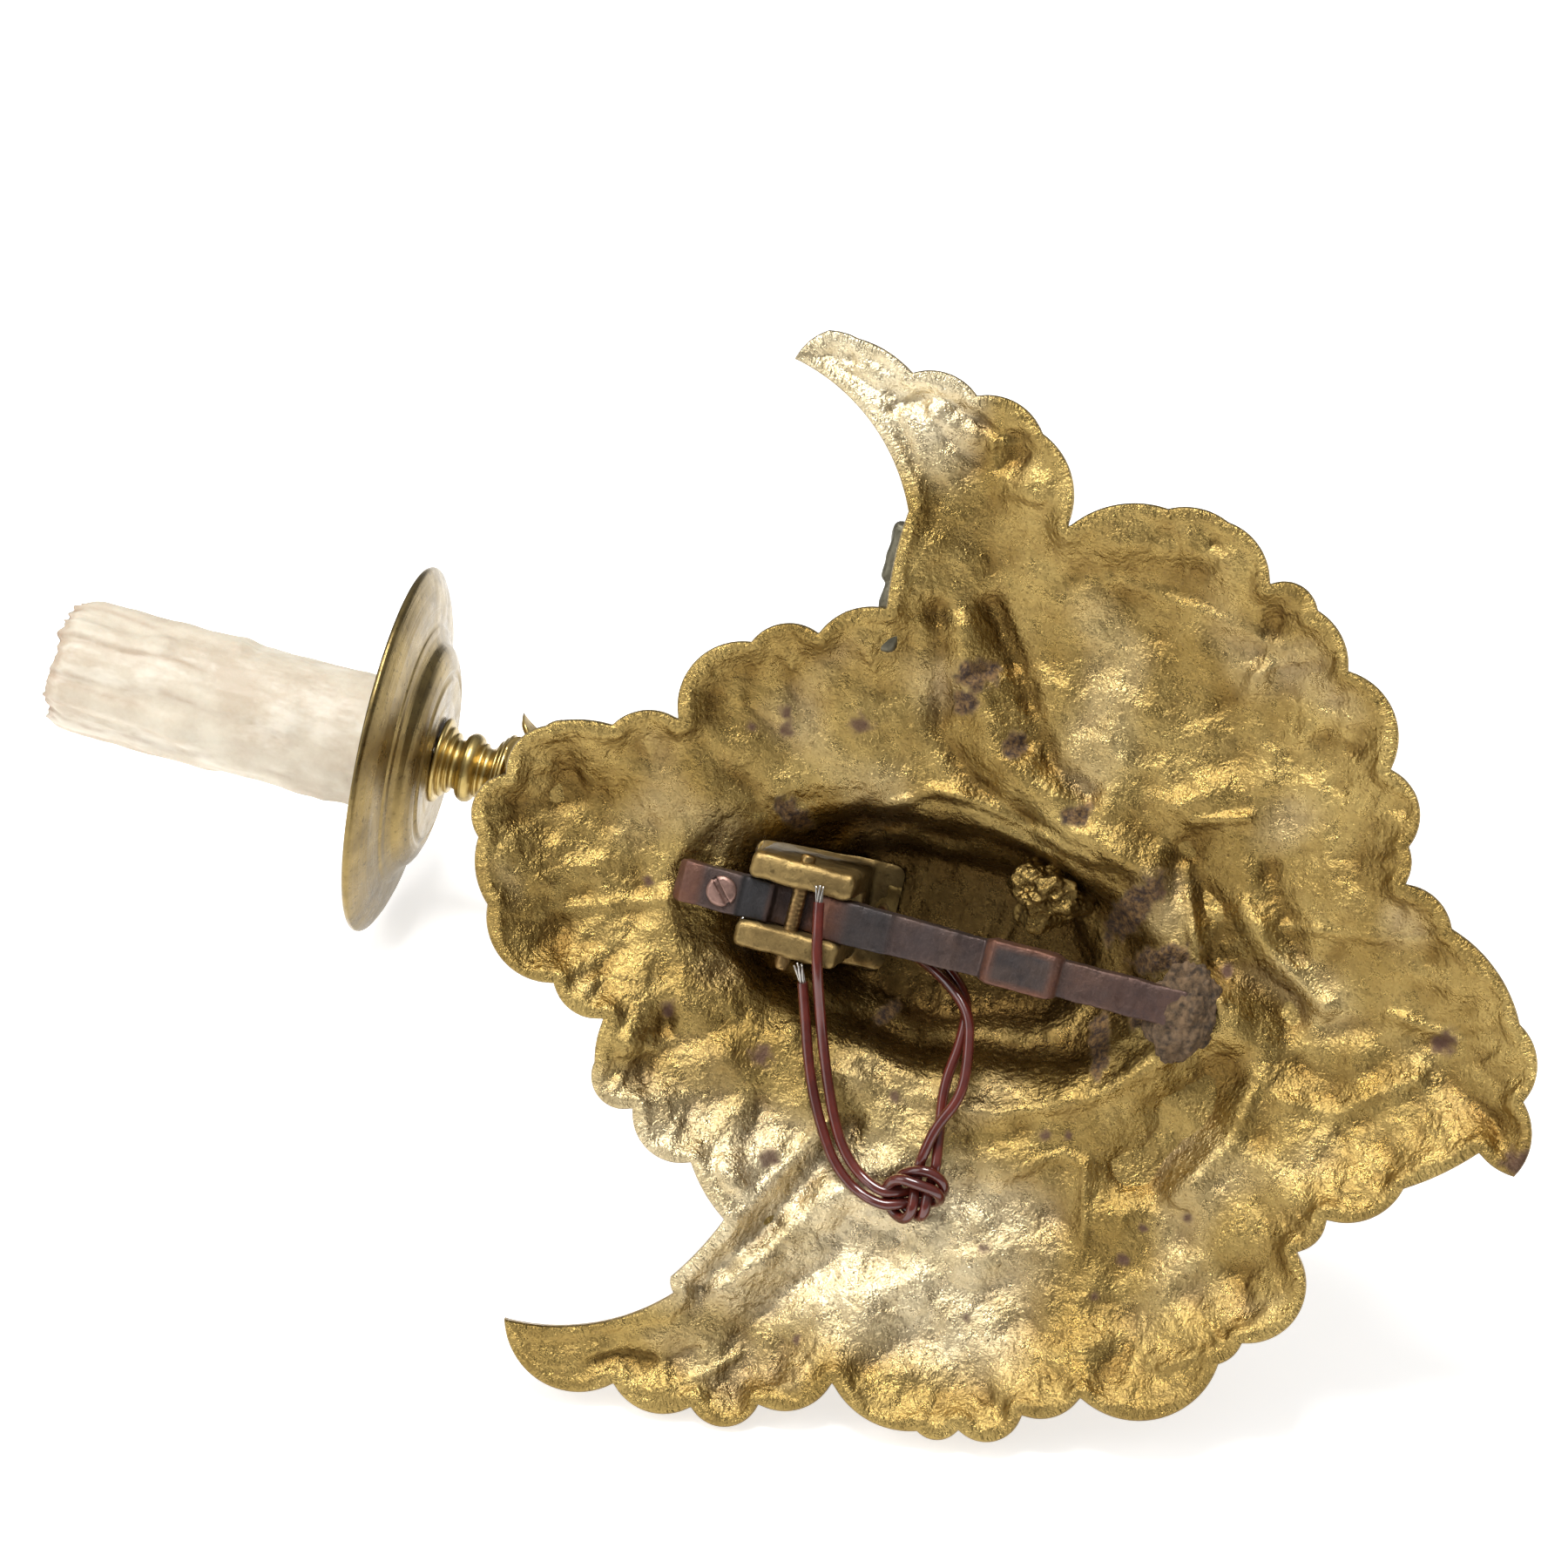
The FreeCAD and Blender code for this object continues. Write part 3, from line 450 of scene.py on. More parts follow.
def table():
    """A wide white plane under the lowest point of everything that shows."""
    heights = [0.0]
    for piece in bpy.context.scene.objects:
        if piece.type == "MESH":
            heights += [TABLE_UP.dot(vertex.co) for vertex in piece.data.vertices]
    across = TABLE_UP.orthogonal().normalized()
    along = TABLE_UP.cross(across)
    centre = TABLE_UP * (min(heights) - 0.0001)
    corners = []
    for first, second in ((-1, -1), (1, -1), (1, 1), (-1, 1)):
        corners.append((centre + 1.6 * (first * across + second * along)) / MM)
    floor = new_piece("table", [tuple(corner) for corner in corners], [(0, 1, 2, 3)], smooth=False)
    if floor.data.polygons[0].normal.dot(TABLE_UP) < 0:
        floor.data.flip_normals()
    material, surface = shader("white_table", (0.93, 0.93, 0.93), 0.7)
    nodes = Nodes(material)
    surface.inputs["Emission Color"].default_value = (1, 1, 1, 1)
    surface.inputs["Emission Strength"].default_value = 0.62
    tint = nodes.mix(nodes.patches(9, 3, 0.5, 0.3, 0.7), (0.93, 0.93, 0.93), (0.95, 0.95, 0.95))
    nodes.link(tint, surface.inputs["Base Color"])
    see_through = nodes.add("ShaderNodeBsdfTransparent")
    choice = nodes.add("ShaderNodeMixShader")
    nodes.link(nodes.add("ShaderNodeNewGeometry").outputs["Backfacing"], choice.inputs[0])
    nodes.link(surface.outputs["BSDF"], choice.inputs[1])
    nodes.link(see_through.outputs["BSDF"], choice.inputs[2])
    output = next(node for node in nodes.tree.nodes if node.type == "OUTPUT_MATERIAL")
    nodes.link(choice.outputs["Shader"], output.inputs["Surface"])
    floor.data.materials.append(material)


def lamp(name, place, target, width, height, power):
    light = bpy.data.objects.new(name, bpy.data.lights.new(name, "AREA"))
    light.data.shape = "RECTANGLE"
    light.data.size = width * MM
    light.data.size_y = height * MM
    light.data.energy = power
    bpy.context.scene.collection.objects.link(light)
    aim(light, place, target)


def studio():
    """Two soft boxes, and a surround that is white to the camera and graded to everything else."""
    lamp("key_light", (-900, 620, 260), (0, 0, 0), 460, 460, 15)
    lamp("fill_light", (-100, 700, 900), (0, 0, 0), 900, 500, 4)
    world = bpy.data.worlds.new("studio")
    bpy.context.scene.world = world
    world.use_nodes = True
    tree = world.node_tree
    seen = tree.nodes["Background"]
    seen.inputs["Color"].default_value = (1, 1, 1, 1)
    around = tree.nodes.new("ShaderNodeBackground")
    around.inputs["Strength"].default_value = 0.36
    place = tree.nodes.new("ShaderNodeTexCoord")
    lean = tree.nodes.new("ShaderNodeVectorMath")
    lean.operation = "DOT_PRODUCT"
    lean.inputs[1].default_value = TABLE_UP
    tree.links.new(place.outputs["Generated"], lean.inputs[0])
    ramp = tree.nodes.new("ShaderNodeValToRGB")
    ramp.color_ramp.elements[0].position = 0.40
    ramp.color_ramp.elements[0].color = (0.16, 0.155, 0.15, 1)
    ramp.color_ramp.elements[1].position = 0.95
    ramp.color_ramp.elements[1].color = (1.55, 1.55, 1.55, 1)
    half = tree.nodes.new("ShaderNodeMapRange")
    half.inputs["From Min"].default_value = -1
    tree.links.new(lean.outputs["Value"], half.inputs["Value"])
    tree.links.new(half.outputs["Result"], ramp.inputs["Fac"])
    tree.links.new(ramp.outputs["Color"], around.inputs["Color"])
    choice = tree.nodes.new("ShaderNodeMixShader")
    path = tree.nodes.new("ShaderNodeLightPath")
    tree.links.new(path.outputs["Is Camera Ray"], choice.inputs[0])
    tree.links.new(around.outputs[0], choice.inputs[1])
    tree.links.new(seen.outputs[0], choice.inputs[2])
    tree.links.new(choice.outputs[0], tree.nodes["World Output"].inputs["Surface"])


studio()

# ---------------------------------------------------------------- supply leads
# Each lead is one route: out of the slot, through the knot, and on to its bare end.
WIRE_RADIUS = 0.95
LEAD_A = [
    (1.2, -33.5, -12.0), (1.2, -27.5, -12.4), (1.8, -21, -14.8), (2.8, -15.2, -19.8), (5.2, -11.2, -26.6),
    (9.5, -8.6, -32.6), (16, -6.5, -34.4), (23.5, -5.2, -35.2), (29.5, -4.6, -32.2), (35.0, -5.2, -31.2),
]
LEAD_B = [
    (-1.2, -33.5, -12), (-1.2, -27.5, -12.4), (-0.4, -21.8, -15.4), (0.8, -16.4, -20.4), (3.6, -13.2, -27.2),
    (8.2, -10.8, -32), (15, -8.4, -32.6), (22, -7.5, -31.6), (29, -7.5, -32.5), (35.0, -6.0, -33.6),
]
TAIL_A = [
    (43.8, -7.3, -21.2), (40.6, -7.5, -17), (36.2, -7.3, -13.9), (30.5, -6.9, -10.8), (24, -6.2, -8.2),
    (18, -5.2, -6.4), (11.5, -3.9, -4.4),
]
TAIL_B = [
    (40.9, -7.2, -21.1), (37.6, -7.4, -17.6), (32.8, -7.1, -14.8), (26.5, -6.4, -12.2), (20, -5.3, -9.8),
    (14, -3.7, -8), (8.4, -1.9, -6.4), (2.8, -1.6, -5), (-2.6, -1.7, -4),
]
# Inside the knot a point is (along the knot, across it, towards the wall), from the knot's middle.
KNOT_MIDDLE = (41.6, -5.2, -31.7)
KNOT_A = [
    (0.5, -4.7, -0.5), (0, -2.3, -1.2), (-0.2, 0.5, 1.0), (-0.7, 3.2, 0.8), (-2.2, 4.5, -0.6),
    (-4.2, 3.3, -2.2), (-5.3, 0.8, -2.0), (-4.9, -1.7, -0.2), (-2.7, -3.0, 1.6), (0.5, -2.0, 2.4),
    (3.6, -0.8, 1.8), (4.4, 0.9, 0), (2.6, 1.6, -1.6), (0, 1.4, -1.6), (-3, 1.8, -0.6), (-6, 1.9, 0),
]
KNOT_B = [
    (3.4, -4.7, -0.5), (2.6, -2.3, -1.4), (1.9, 0.5, 0.9), (1.6, 3.0, 0.7), (0.5, 4.2, -0.8),
    (-3.4, 1.5, -3.0), (-3.6, -1.5, -2.4), (-2.4, -3.6, -0.3), (1.6, -4.4, 1.6), (4.3, -2.9, 1.0),
    (5.0, -0.6, -0.6), (3.2, 0.9, -3.0), (0, -0.3, -3.0), (-3, -0.3, -0.9), (-6, -0.3, 0),
]


# The knot's own direction on the wall plane, (x, z); "across" is at a right angle to it.
KNOT_DIRECTION = (-0.25, -0.968)


def in_knot(points):
    """Points of the knot in the sconce's own frame."""
    x, y, z = KNOT_MIDDLE
    run_x, run_z = KNOT_DIRECTION
    return [(x + run_x * u - run_z * v, y + w, z + run_z * u + run_x * v) for u, v, w in points]


def smooth_line(name, route, radius):
    """One open NURBS curve through a given route, as round as a wire."""
    curve = bpy.data.curves.new(name, "CURVE")
    curve.dimensions = "3D"
    spline = curve.splines.new("NURBS")
    spline.points.add(len(route) - 1)
    for point, place in zip(spline.points, route):
        point.co = (*(MM * part for part in place), 1)
    spline.order_u = 3
    spline.use_endpoint_u = True
    spline.resolution_u = 10
    curve.bevel_depth = radius * MM
    curve.bevel_resolution = 4
    curve.use_fill_caps = True
    line = bpy.data.objects.new(name, curve)
    bpy.context.scene.collection.objects.link(line)
    return line


def frayed_end(name, start, tip, stands_for):
    """Seven fine strands, one in the middle of six, that part towards the tip."""
    strand_radius = 0.19
    corners = 8
    steps = 8
    start = Vector(start)
    tip = Vector(tip)
    ahead = (tip - start).normalized()
    side = ahead.orthogonal().normalized()
    points = []
    faces = []
    for strand in range(7):
        turn = Matrix.Rotation(strand * 2 * math.pi / 6, 3, ahead)
        off = turn @ side if strand else Vector((0, 0, 0))
        faces += tube_faces(steps + 1, corners, len(points))
        for step in range(steps + 1):
            share = step / steps
            twist = Matrix.Rotation(1.1 * share, 3, ahead)
            middle = start.lerp(tip, share * (1 - 0.04 * (strand % 3))) - ahead * (0.8 * (1 - share))
            middle += twist @ off * (0.42 + 0.30 * share ** 2)
            for corner in range(corners):
                angle = corner * 2 * math.pi / corners
                spoke = math.cos(angle) * side + math.sin(angle) * ahead.cross(side)
                points.append(middle + strand_radius * spoke)
    piece = outward(new_piece(name, points, faces))
    return dress(piece, TINNED, stands_for=stands_for)


ends_a = frayed_end("bare_end_a", (11.5, -3.9, -4.4), (8.6, -2.5, -3.0), ["wire_a_strands"])
ends_b = frayed_end("bare_end_b", (-2.6, -1.7, -4.0), (-5.4, -1.85, -3.4), ["wire_b_strands"])
lead_a = smooth_line("supply_lead_a", LEAD_A + in_knot(KNOT_A) + TAIL_A, WIRE_RADIUS)
lead_b = smooth_line("supply_lead_b", LEAD_B + in_knot(KNOT_B) + TAIL_B, WIRE_RADIUS)
dress(lead_a, INSULATION, stands_for=["wire_a_lead", "wire_knot", "wire_a_tail"])
dress(lead_b, INSULATION, stands_for=["wire_b_lead", "wire_b_tail"])

# ---------------------------------------------------------------- cast backplate
# The same outline as the frame's: (x, z, bulge), a notch and how far the lobe after it swells.
OUTLINE = [
    (-90.0, 22.3, 0.8), (-96.3, 17.7, 0.3), (-96.2, 12.8, 0.8), (-92.8, 2.3, 1.9),
    (-91.7, -9.1, 2.3), (-88.2, -21.4, 2.8), (-74.3, -29.3, 2.2), (-81.2, -44.6, 1.2),
    (-81.5, -54.9, 2.0), (-73.3, -64.2, 2.2), (-70.9, -73.0, 1.6), (-62.4, -80.4, 4.2),
    (-48.3, -91.3, 3.2), (-36.5, -97.4, 0.7), (-30.5, -98.4, 1.8), (-25.2, -107.6, 2.0),
    (-12.6, -122.4, 2.6), (-0.2, -126.2, 2.2), (12.4, -127.7, 0.6), (10.1, -121.1, 0.5),
    (19.0, -110.7, 2.5), (27.4, -99.7, 1.2), (33.8, -96.3, 5.5), (51.1, -91.2, 0.6),
    (55.5, -88.3, 6.5), (67.2, -67.3, 1.8), (72.6, -58.6, 3.2), (77.9, -48.8, 1.6),
    (79.9, -42.0, 2.5), (75.8, -26.2, 2.7), (82.6, -15.0, 3.6), (86.1, -3.9, 2.9),
    (85.7, 9.9, 6.2), (79.6, 30.9, -3.0), (67.8, 3.9, 0.3), (65.2, 5.0, -0.4),
    (53.5, -1.4, 0.6), (45.7, 6.3, 3.4), (39.4, 18.2, 3.3), (33.2, 26.5, 0.4),
    (25.9, 26.8, 2.0), (22.2, 36.4, 4.2), (12.0, 50.7, 1.3), (1.3, 55.0, 3.3),
    (-10.5, 53.0, 2.0), (-20.1, 48.3, 0.3), (-21.8, 45.6, 0.4), (-23.1, 37.3, 2.0),
    (-26.8, 26.7, 4.6), (-42.5, 17.8, 2.4), (-46.7, 7.1, 1.8), (-53.6, -2.9, 0.5),
    (-70.0, -2.5, -3.9),
]
SLOT = (9.4, -14.6, 10.2)

# Humps and dents cast into the back: (x, z, half length, half width, turn in degrees, height).
HUMPS = [
    # the -X horn
    (-86, -4, 4.5, 2, -85, 0.9), (-85, -10, 3, 2, 45, 0.8), (-78, -23, 3, 2, -85, 1.2),
    (-79, -11, 4.5, 2, 45, -1.0), (-82, -17, 4, 1.4, 40, -0.9), (-70, -11, 6, 4, -75, 0.6),
    # the -X scallops
    (-74, -44, 6.5, 2, 80, 1.3), (-75, -53, 4, 2, 85, 1.5), (-72, -58, 3.5, 2, -65, 1.2),
    (-63, -34, 4, 2.5, 40, 1.4), (-57, -66, 5, 2, 25, 1.9), (-61, -60, 5.5, 4, 35, -1.6),
    (-67, -66, 2.5, 4.5, 75, -1.0), (-54, -80, 4, 2, 75, 1.0), (-50, -88, 3.5, 1.5, 50, 1.2),
    (-49, -75, 4.5, 2, 45, 1.2), (-40, -79, 4.5, 2, -85, 0.8),
    # the broad field on the -X side
    (-56, -51, 9, 6, 75, 0.9), (-44, -46, 6.5, 8, 75, 1.0), (-34, -59, 8.5, 3, 65, 2.2),
    (-47, -21, 3, 2.2, 60, -2.6), (-36, -30, 2, 1.6, 75, -2.6), (-27, -42, 3.2, 2, 85, -3.0),
    # metal that rises past the lower end of the iron bar, and the foot
    (0, -76, 9, 6, 0, 3.6), (-13, -66, 5, 5, 0, 1.8), (11, -66, 5, 4, 0, 1.6),
    (-7, -89, 4, 2.5, -85, 0.9), (0, -97, 5, 3, 55, 1.2), (-6, -111, 3.2, 2, 75, -1.3),
    (-16, -106, 5.5, 1.8, -80, 0.7), (9, -109, 9, 4, 75, -1.0), (4, -92, 9, 3, 85, -1.2),
    # the +X field and its scallops
    (39, -53, 6.5, 6.5, 0, -1.3), (36, -66, 6, 4, 60, 1.3), (32, -46, 6, 3, 55, 1.2),
    (51, -44, 9, 4, 65, 1.4), (60, -63, 8, 2, 65, 0.9), (63, -29, 16, 7.5, 75, 1.2),
    (60, -10, 9, 6, 35, 1.0), (45, -82, 9, 4, 50, -0.9), (76, -48, 4.5, 2.5, 75, 0.7),
    # the pillow on the +X side of the crown
    (31, 22, 2, 5, 85, 1.7), (37, 14, 3, 3, 0, 1.5), (26, 21, 2, 4, -90, 1.2), (28, 5, 4, 4.5, 75, 1.7),
    (33, 8, 2.5, 3, 75, 1.3), (24, 17, 1.3, 3, 85, -1.6), (34, 18, 1.2, 4, 85, -1.2),
    (34, -2, 2, 5, 85, -1.4), (22, -4, 2.5, 4, 75, 1.2), (46, -1, 3, 4, 55, 1.4),
    # the crown lobe
    (-10, 43, 9, 5, 70, -2.6), (1, 49, 3, 2.5, 75, 1.3), (14, 37, 7.5, 4, 85, -1.8),
    (6, 44, 2.2, 2, 55, 1.3), (0, 35, 3.5, 5, 75, 0.9), (-36, 21, 2.5, 4, -85, -1.4),
    (-44, 6, 2.5, 4, -85, -1.4), (-48, -8, 2.5, 6, 85, -1.2),
    # the +X horn
    (86, 5, 4.5, 2, 85, 0.9), (79, -18, 4, 1.5, 55, 1.0), (80, 8, 3, 2, 75, -0.9),
]
# Ridges (+) and grooves (-) that run along a line: (half width, height, [(x, z), ...]).
RIDGES = [
    (0.9, -0.9, [(-90, 20), (-90, 12), (-88, 6), (-85, 3), (-77, -2)]),
    (0.9, -1.2, [(-86, 4), (-90, -2), (-89, -8), (-86, -14), (-87, -18)]),
    (3.5, 2.6, [(-53, -16), (-43, -21), (-34, -27), (-28, -38), (-21, -56)]),
    (2.2, -2.2, [(-58, -19), (-46, -28), (-34, -36), (-31, -43)]),
    (2.1, -1.6, [(-55, -11), (-35, -16), (-28, -24), (-24, -34)]),
    (5.2, -4.6, [(-24, -63), (-18, -67), (-10, -71), (-5, -85)]),
    (2.2, 2.2, [(-19, -73), (-13, -79), (-6, -90)]),
    (2.4, -1.6, [(-26, -76), (-14, -84)]),
    (1.3, 1.6, [(-23, -62), (-8, -68), (-3, -73)]),
    (5.6, -4.6, [(8, -76), (14, -73), (29, -67)]),
    (2.4, 2.0, [(9, -82), (20, -80), (31, -74)]),
    (2.2, 2.0, [(8, -66), (18, -56), (25, -42), (26, -33)]),
    (0.9, 0.8, [(35, -46), (29, -54), (30, -58), (43, -61)]),
    (0.9, 1.1, [(59, -79), (50, -90), (45, -94)]),
    (2.2, -2.0, [(67, 1), (52, -9), (34, -18)]),
    (2.6, 1.6, [(66, -4), (46, -18), (40, -25)]),
    (1.5, 1.5, [(65, 4), (54, -3), (34, -14)]),
    (0.7, 0.9, [(88, 7), (80, -5), (76, -9)]),
    (1.2, 0.9, [(13, 51), (10, 38), (4, 22)]),
    (2.1, -1.4, [(-26, 27), (-17, 12)]),
    (1.2, 0.9, [(-67, -38), (-66, -53), (-63, -68)]),
    (1.0, 1.5, [(-31, -61), (-34, -70)]),
    (1.0, 0.8, [(-18, -81), (-20, -96), (-23, -106)]),
    (1.0, 1.1, [(-8, -101), (-7, -113)]),
    (1.8, 1.3, [(11, -87), (10, -97), (1, -108)]),
    (1.0, 1.4, [(-19, -8), (-25, -18), (-25, -26), (-20, -46)]),
    (0.9, 1.0, [(-15, -11), (-20, -19), (-21, -29), (-19, -39)]),
    (2.1, 1.2, [(11, -1), (18, -11), (22, -25)]),
]
# Red-brown stains: (x, z, radius). The larger ones are where casting sand or solder is left.
STAINS = [
    (-29, 9, 1.6), (-33, -3, 2.1), (26, 0, 2.2), (42, -6, 2.0), (22, 17, 1.6), (-32, 10, 1.4),
    (-28, 15, 1.1), (2, 26, 1.0), (27, -50, 1.2), (26, -54, 0.9), (48, -45, 1.1), (38, -70, 0.9),
    (34, -77, 1.0), (44, -68, 1.3), (51, -65, 0.9), (60, -45, 0.9), (-6, -111, 2.4), (71, -18, 0.9),
    (27, -24, 1.2), (-8, -73, 1.3), (10, -128, 3.2), (-18, -59, 0.9),
]
# Crumbly brown crusts: (x, z, half length, half width, turn, height).
CRUSTS = [
    (-46, -20, 4.2, 3.0, 60, 1.4), (-41, -19, 2.4, 2.8, 0, 0.9), (-36, -29, 2.4, 2.2, 0, 1.2),
    (-27, -42, 3.6, 1.9, 60, 1.5), (-15, 5, 4.4, 2.2, -60, 1.3), (-14, -55, 9.0, 3.2, 25, 2.0),
    (-7, -62, 7.0, 2.8, 60, 2.2), (3, -62, 5.0, 3.0, 80, 2.0), (10, -55, 5.6, 2.2, -15, 1.6),
    (15, -18, 2.6, 1.4, 30, 0.9),
]


# How deep the broad field is dished and the hollow sinks, and the metal's thickness at the show side.
DISH_DEPTH = 9.5
HOLLOW_DEPTH = 20.5
METAL = 3.7
# Spacing of the points along the edge, over the back and over the front.
EDGE_STEP = 0.6
BACK_SPACING = 0.68
FRONT_SPACING = 1.25
# How far the edge is kept inside the frame's.
EDGE_TRIM = 0.16
# Rows of equal triangles stand this share of their width apart.
ROW_SHARE = 0.866
# Points that are compared with a ring at one time.
BLOCK = 4000


def outline_points(step):
    """Points along the outline's arcs, with the lobe and the share of it that each lies at."""
    points = []
    for (x0, z0, bulge), (x1, z1, _) in zip(OUTLINE, OUTLINE[1:] + OUTLINE[:1]):
        chord = math.hypot(x1 - x0, z1 - z0)
        count = max(3, round(chord / step))
        radius = (chord * chord / 4 + bulge * bulge) / (2 * bulge)
        along_x = (x1 - x0) / chord
        along_z = (z1 - z0) / chord
        half = math.asin(max(-1.0, min(1.0, chord / 2 / abs(radius))))
        for number in range(count):
            angle = half * (2 * number / count - 1)
            forward = abs(radius) * math.sin(angle) + chord / 2
            side = (abs(radius) * math.cos(angle) - abs(radius) + abs(bulge)) * math.copysign(1, bulge)
            place_x = x0 + forward * along_x + side * along_z
            place_z = z0 + forward * along_z - side * along_x
            points.append((place_x, place_z, number / count))
    return np.array(points)


def bump_at(x, z, row):
    """A smooth hump that falls to nothing at about twice its half sizes."""
    centre_x, centre_z, half_length, half_width, turn = row[:5]
    angle = math.radians(turn)
    along = (x - centre_x) * math.cos(angle) + (z - centre_z) * math.sin(angle)
    across = (z - centre_z) * math.cos(angle) - (x - centre_x) * math.sin(angle)
    return np.exp(-((along / half_length) ** 2 + (across / half_width) ** 2))


def distance_to_line(x, z, line):
    """Distance from each point to a line of straight runs."""
    best = np.full(np.shape(x), 1e9)
    for (x0, z0), (x1, z1) in zip(line, line[1:]):
        length = math.hypot(x1 - x0, z1 - z0)
        share = np.clip(((x - x0) * (x1 - x0) + (z - z0) * (z1 - z0)) / length ** 2, 0, 1)
        best = np.minimum(best, np.hypot(x - x0 - share * (x1 - x0), z - z0 - share * (z1 - z0)))
    return best


def nearest_on(ring, x, z):
    """Distance from each point to the nearest point of a ring, and which of them it is."""
    gap = np.empty(len(x))
    which = np.empty(len(x), int)
    for start in range(0, len(x), BLOCK):
        block = slice(start, start + BLOCK)
        square = (x[block, None] - ring[:, 0]) ** 2 + (z[block, None] - ring[:, 1]) ** 2
        which[block] = square.argmin(1)
        gap[block] = np.sqrt(square.min(1))
    return gap, which


def ring_holds(ring, x, z):
    """Whether each point lies inside a closed ring."""
    crossings = np.zeros(len(x), int)
    for (a, b), (c, d) in zip(ring, np.roll(ring, -1, 0)):
        if b != d:
            crossings += ((b > z) != (d > z)) & (x < (c - a) * (z - b) / (d - b) + a)
    return crossings % 2 == 1


class Plate:
    """Heights and shades of the backplate at any points of the wall plane."""

    def __init__(self):
        self.edge = outline_points(EDGE_STEP)
        ahead = self.ahead()
        self.edge[:, 0] -= EDGE_TRIM * ahead[:, 1]
        self.edge[:, 1] += EDGE_TRIM * ahead[:, 0]
        steps = np.hypot(*(np.roll(self.edge[:, :2], -1, 0) - self.edge[:, :2]).T)
        self.along = np.concatenate([[0], np.cumsum(steps)[:-1]])
        ahead = self.ahead()
        self.outwards = np.stack([ahead[:, 1], -ahead[:, 0]], 1)

    def ahead(self):
        """The edge's direction at each of its points."""
        across = np.roll(self.edge[:, :2], -1, 0) - np.roll(self.edge[:, :2], 1, 0)
        return across / np.hypot(*across.T)[:, None]

    def nearest(self, x, z):
        """Distance inside the edge, length along it and place on its lobe, for each point."""
        gap, which = nearest_on(self.edge, x, z)
        return gap, self.along[which], self.edge[which, 2]

    def broad(self, x, z, gap):
        """The dished field and the deep hollow behind the arm, without detail."""
        run = np.clip(gap / 24, 0, 1)
        horns = np.maximum(fade(-66, -80, x), fade(62, 76, x) * fade(-12, 2, z))
        height = -DISH_DEPTH * (1 - (1 - run) ** 1.8) * (1 - 0.72 * horns)
        reach = np.hypot(x / 26.5, (z + 24) / 47)
        reach = reach + 0.035 * grain(x / 14, z / 14, 7)
        share = np.clip((1 - reach) / 0.62, 0, 1)
        steps = share + 0.035 * np.sin(share * 17 + 1.5 * grain(x / 9, z / 9, 8))
        hollow = np.clip(steps, 0, 1)
        return height, hollow * hollow * (3 - 2 * hollow)

    def back(self, x, z):
        """The whole back surface, and the shades that go with it."""
        gap, along, lobe = self.nearest(x, z)
        rim = 2.0 + 0.9 * grain(along / 14, 0 * along, 3) + 0.7 * grain(along / 5, 0 * along, 4)
        shifted = gap - (rim - 1.6)
        dish, hollow = self.broad(x, z, np.maximum(shifted - 1.5, 0))
        field = fade(1.4, 5.0, shifted)
        height = dish - HOLLOW_DEPTH * hollow
        height -= 0.45 * fade(1.5, 3.2, shifted)
        flute = np.sin(math.pi * lobe) ** 0.7 - 0.6
        height += 1.5 * flute * fade(1.8, 4.5, gap) * (1 - fade(6, 17, gap))
        detail = np.zeros(len(x))
        for row in HUMPS:
            detail += row[5] * bump_at(x, z, row)
        for width, tall, line in RIDGES:
            detail += tall * np.exp(-(distance_to_line(x, z, line) / width) ** 2)
        crust = np.zeros(len(x))
        for row in CRUSTS:
            ragged = bump_at(x, z, row) + 0.28 * rough_grain(x / 2.2, z / 2.2, 20)
            crust = np.maximum(crust, fade(0.34, 0.60, ragged))
            detail += row[5] * crust * bump_at(x, z, row) * 0.5
        open_field = field * (1 - 0.75 * hollow)
        waves = 1.05 * grain(x / 13, z / 13, 9) + 0.80 * grain(x / 6.2, z / 6.2, 10)
        lumps = 0.26 * grain(x / 3.1, z / 3.1, 11) + 0.09 * grain(x / 1.5, z / 1.5, 12)
        patchy = 0.45 + 0.9 * fade(-0.3, 0.5, grain(x / 24, z / 24, 13))
        drag = 0.55 * grain(x / 7, z / 1.6, 14) * hollow
        height += detail * (0.35 + 0.65 * field) + open_field * (waves + lumps * patchy) + drag
        height += crust * (0.8 * rough_grain(x / 1.7, z / 1.7, 30) - 0.1)
        flat = 1 - fade(1.5, 1.9, shifted)
        filed = -0.03 - 0.05 * np.abs(grain(along / 1.3, gap / 9, 15)) - 0.25 * fade(0.5, 0.0, gap)
        height = np.where(shifted < 1.9, flat * filed + (1 - flat) * height, height)
        height = np.minimum(height, filed)
        stain = np.zeros(len(x))
        for centre_x, centre_z, radius in STAINS:
            reach = np.hypot(x - centre_x, z - centre_z) / radius + 0.45 * rough_grain(x / 1.6, z / 1.6, 40)
            stain = np.maximum(stain, fade(1.15, 0.45, reach))
        # Painted light: the +X low field and the -X horn are made pale where light falls on them; the grain
        # term adds random pale patches.
        lit_low_field = fade(30, 44, x) * fade(74, 62, x) * fade(-62, -40, z)
        pale_and_painted_light = 0.9 * fade(-72, -86, x) * fade(-14, -4, z) + 0.62 * lit_low_field * (1 - hollow)
        pale_and_painted_light += 0.16 * fade(0.1, 0.7, grain(x / 17, z / 17, 50)) * field
        pale_and_painted_light *= 1 - 0.8 * np.maximum(crust, hollow)
        return height, dict(
            pale_and_painted_light=np.clip(pale_and_painted_light, 0, 1), inside=gap, along=along, rim=flat,
            depth=hollow, filler=crust, stain=0.85 * stain,
        )

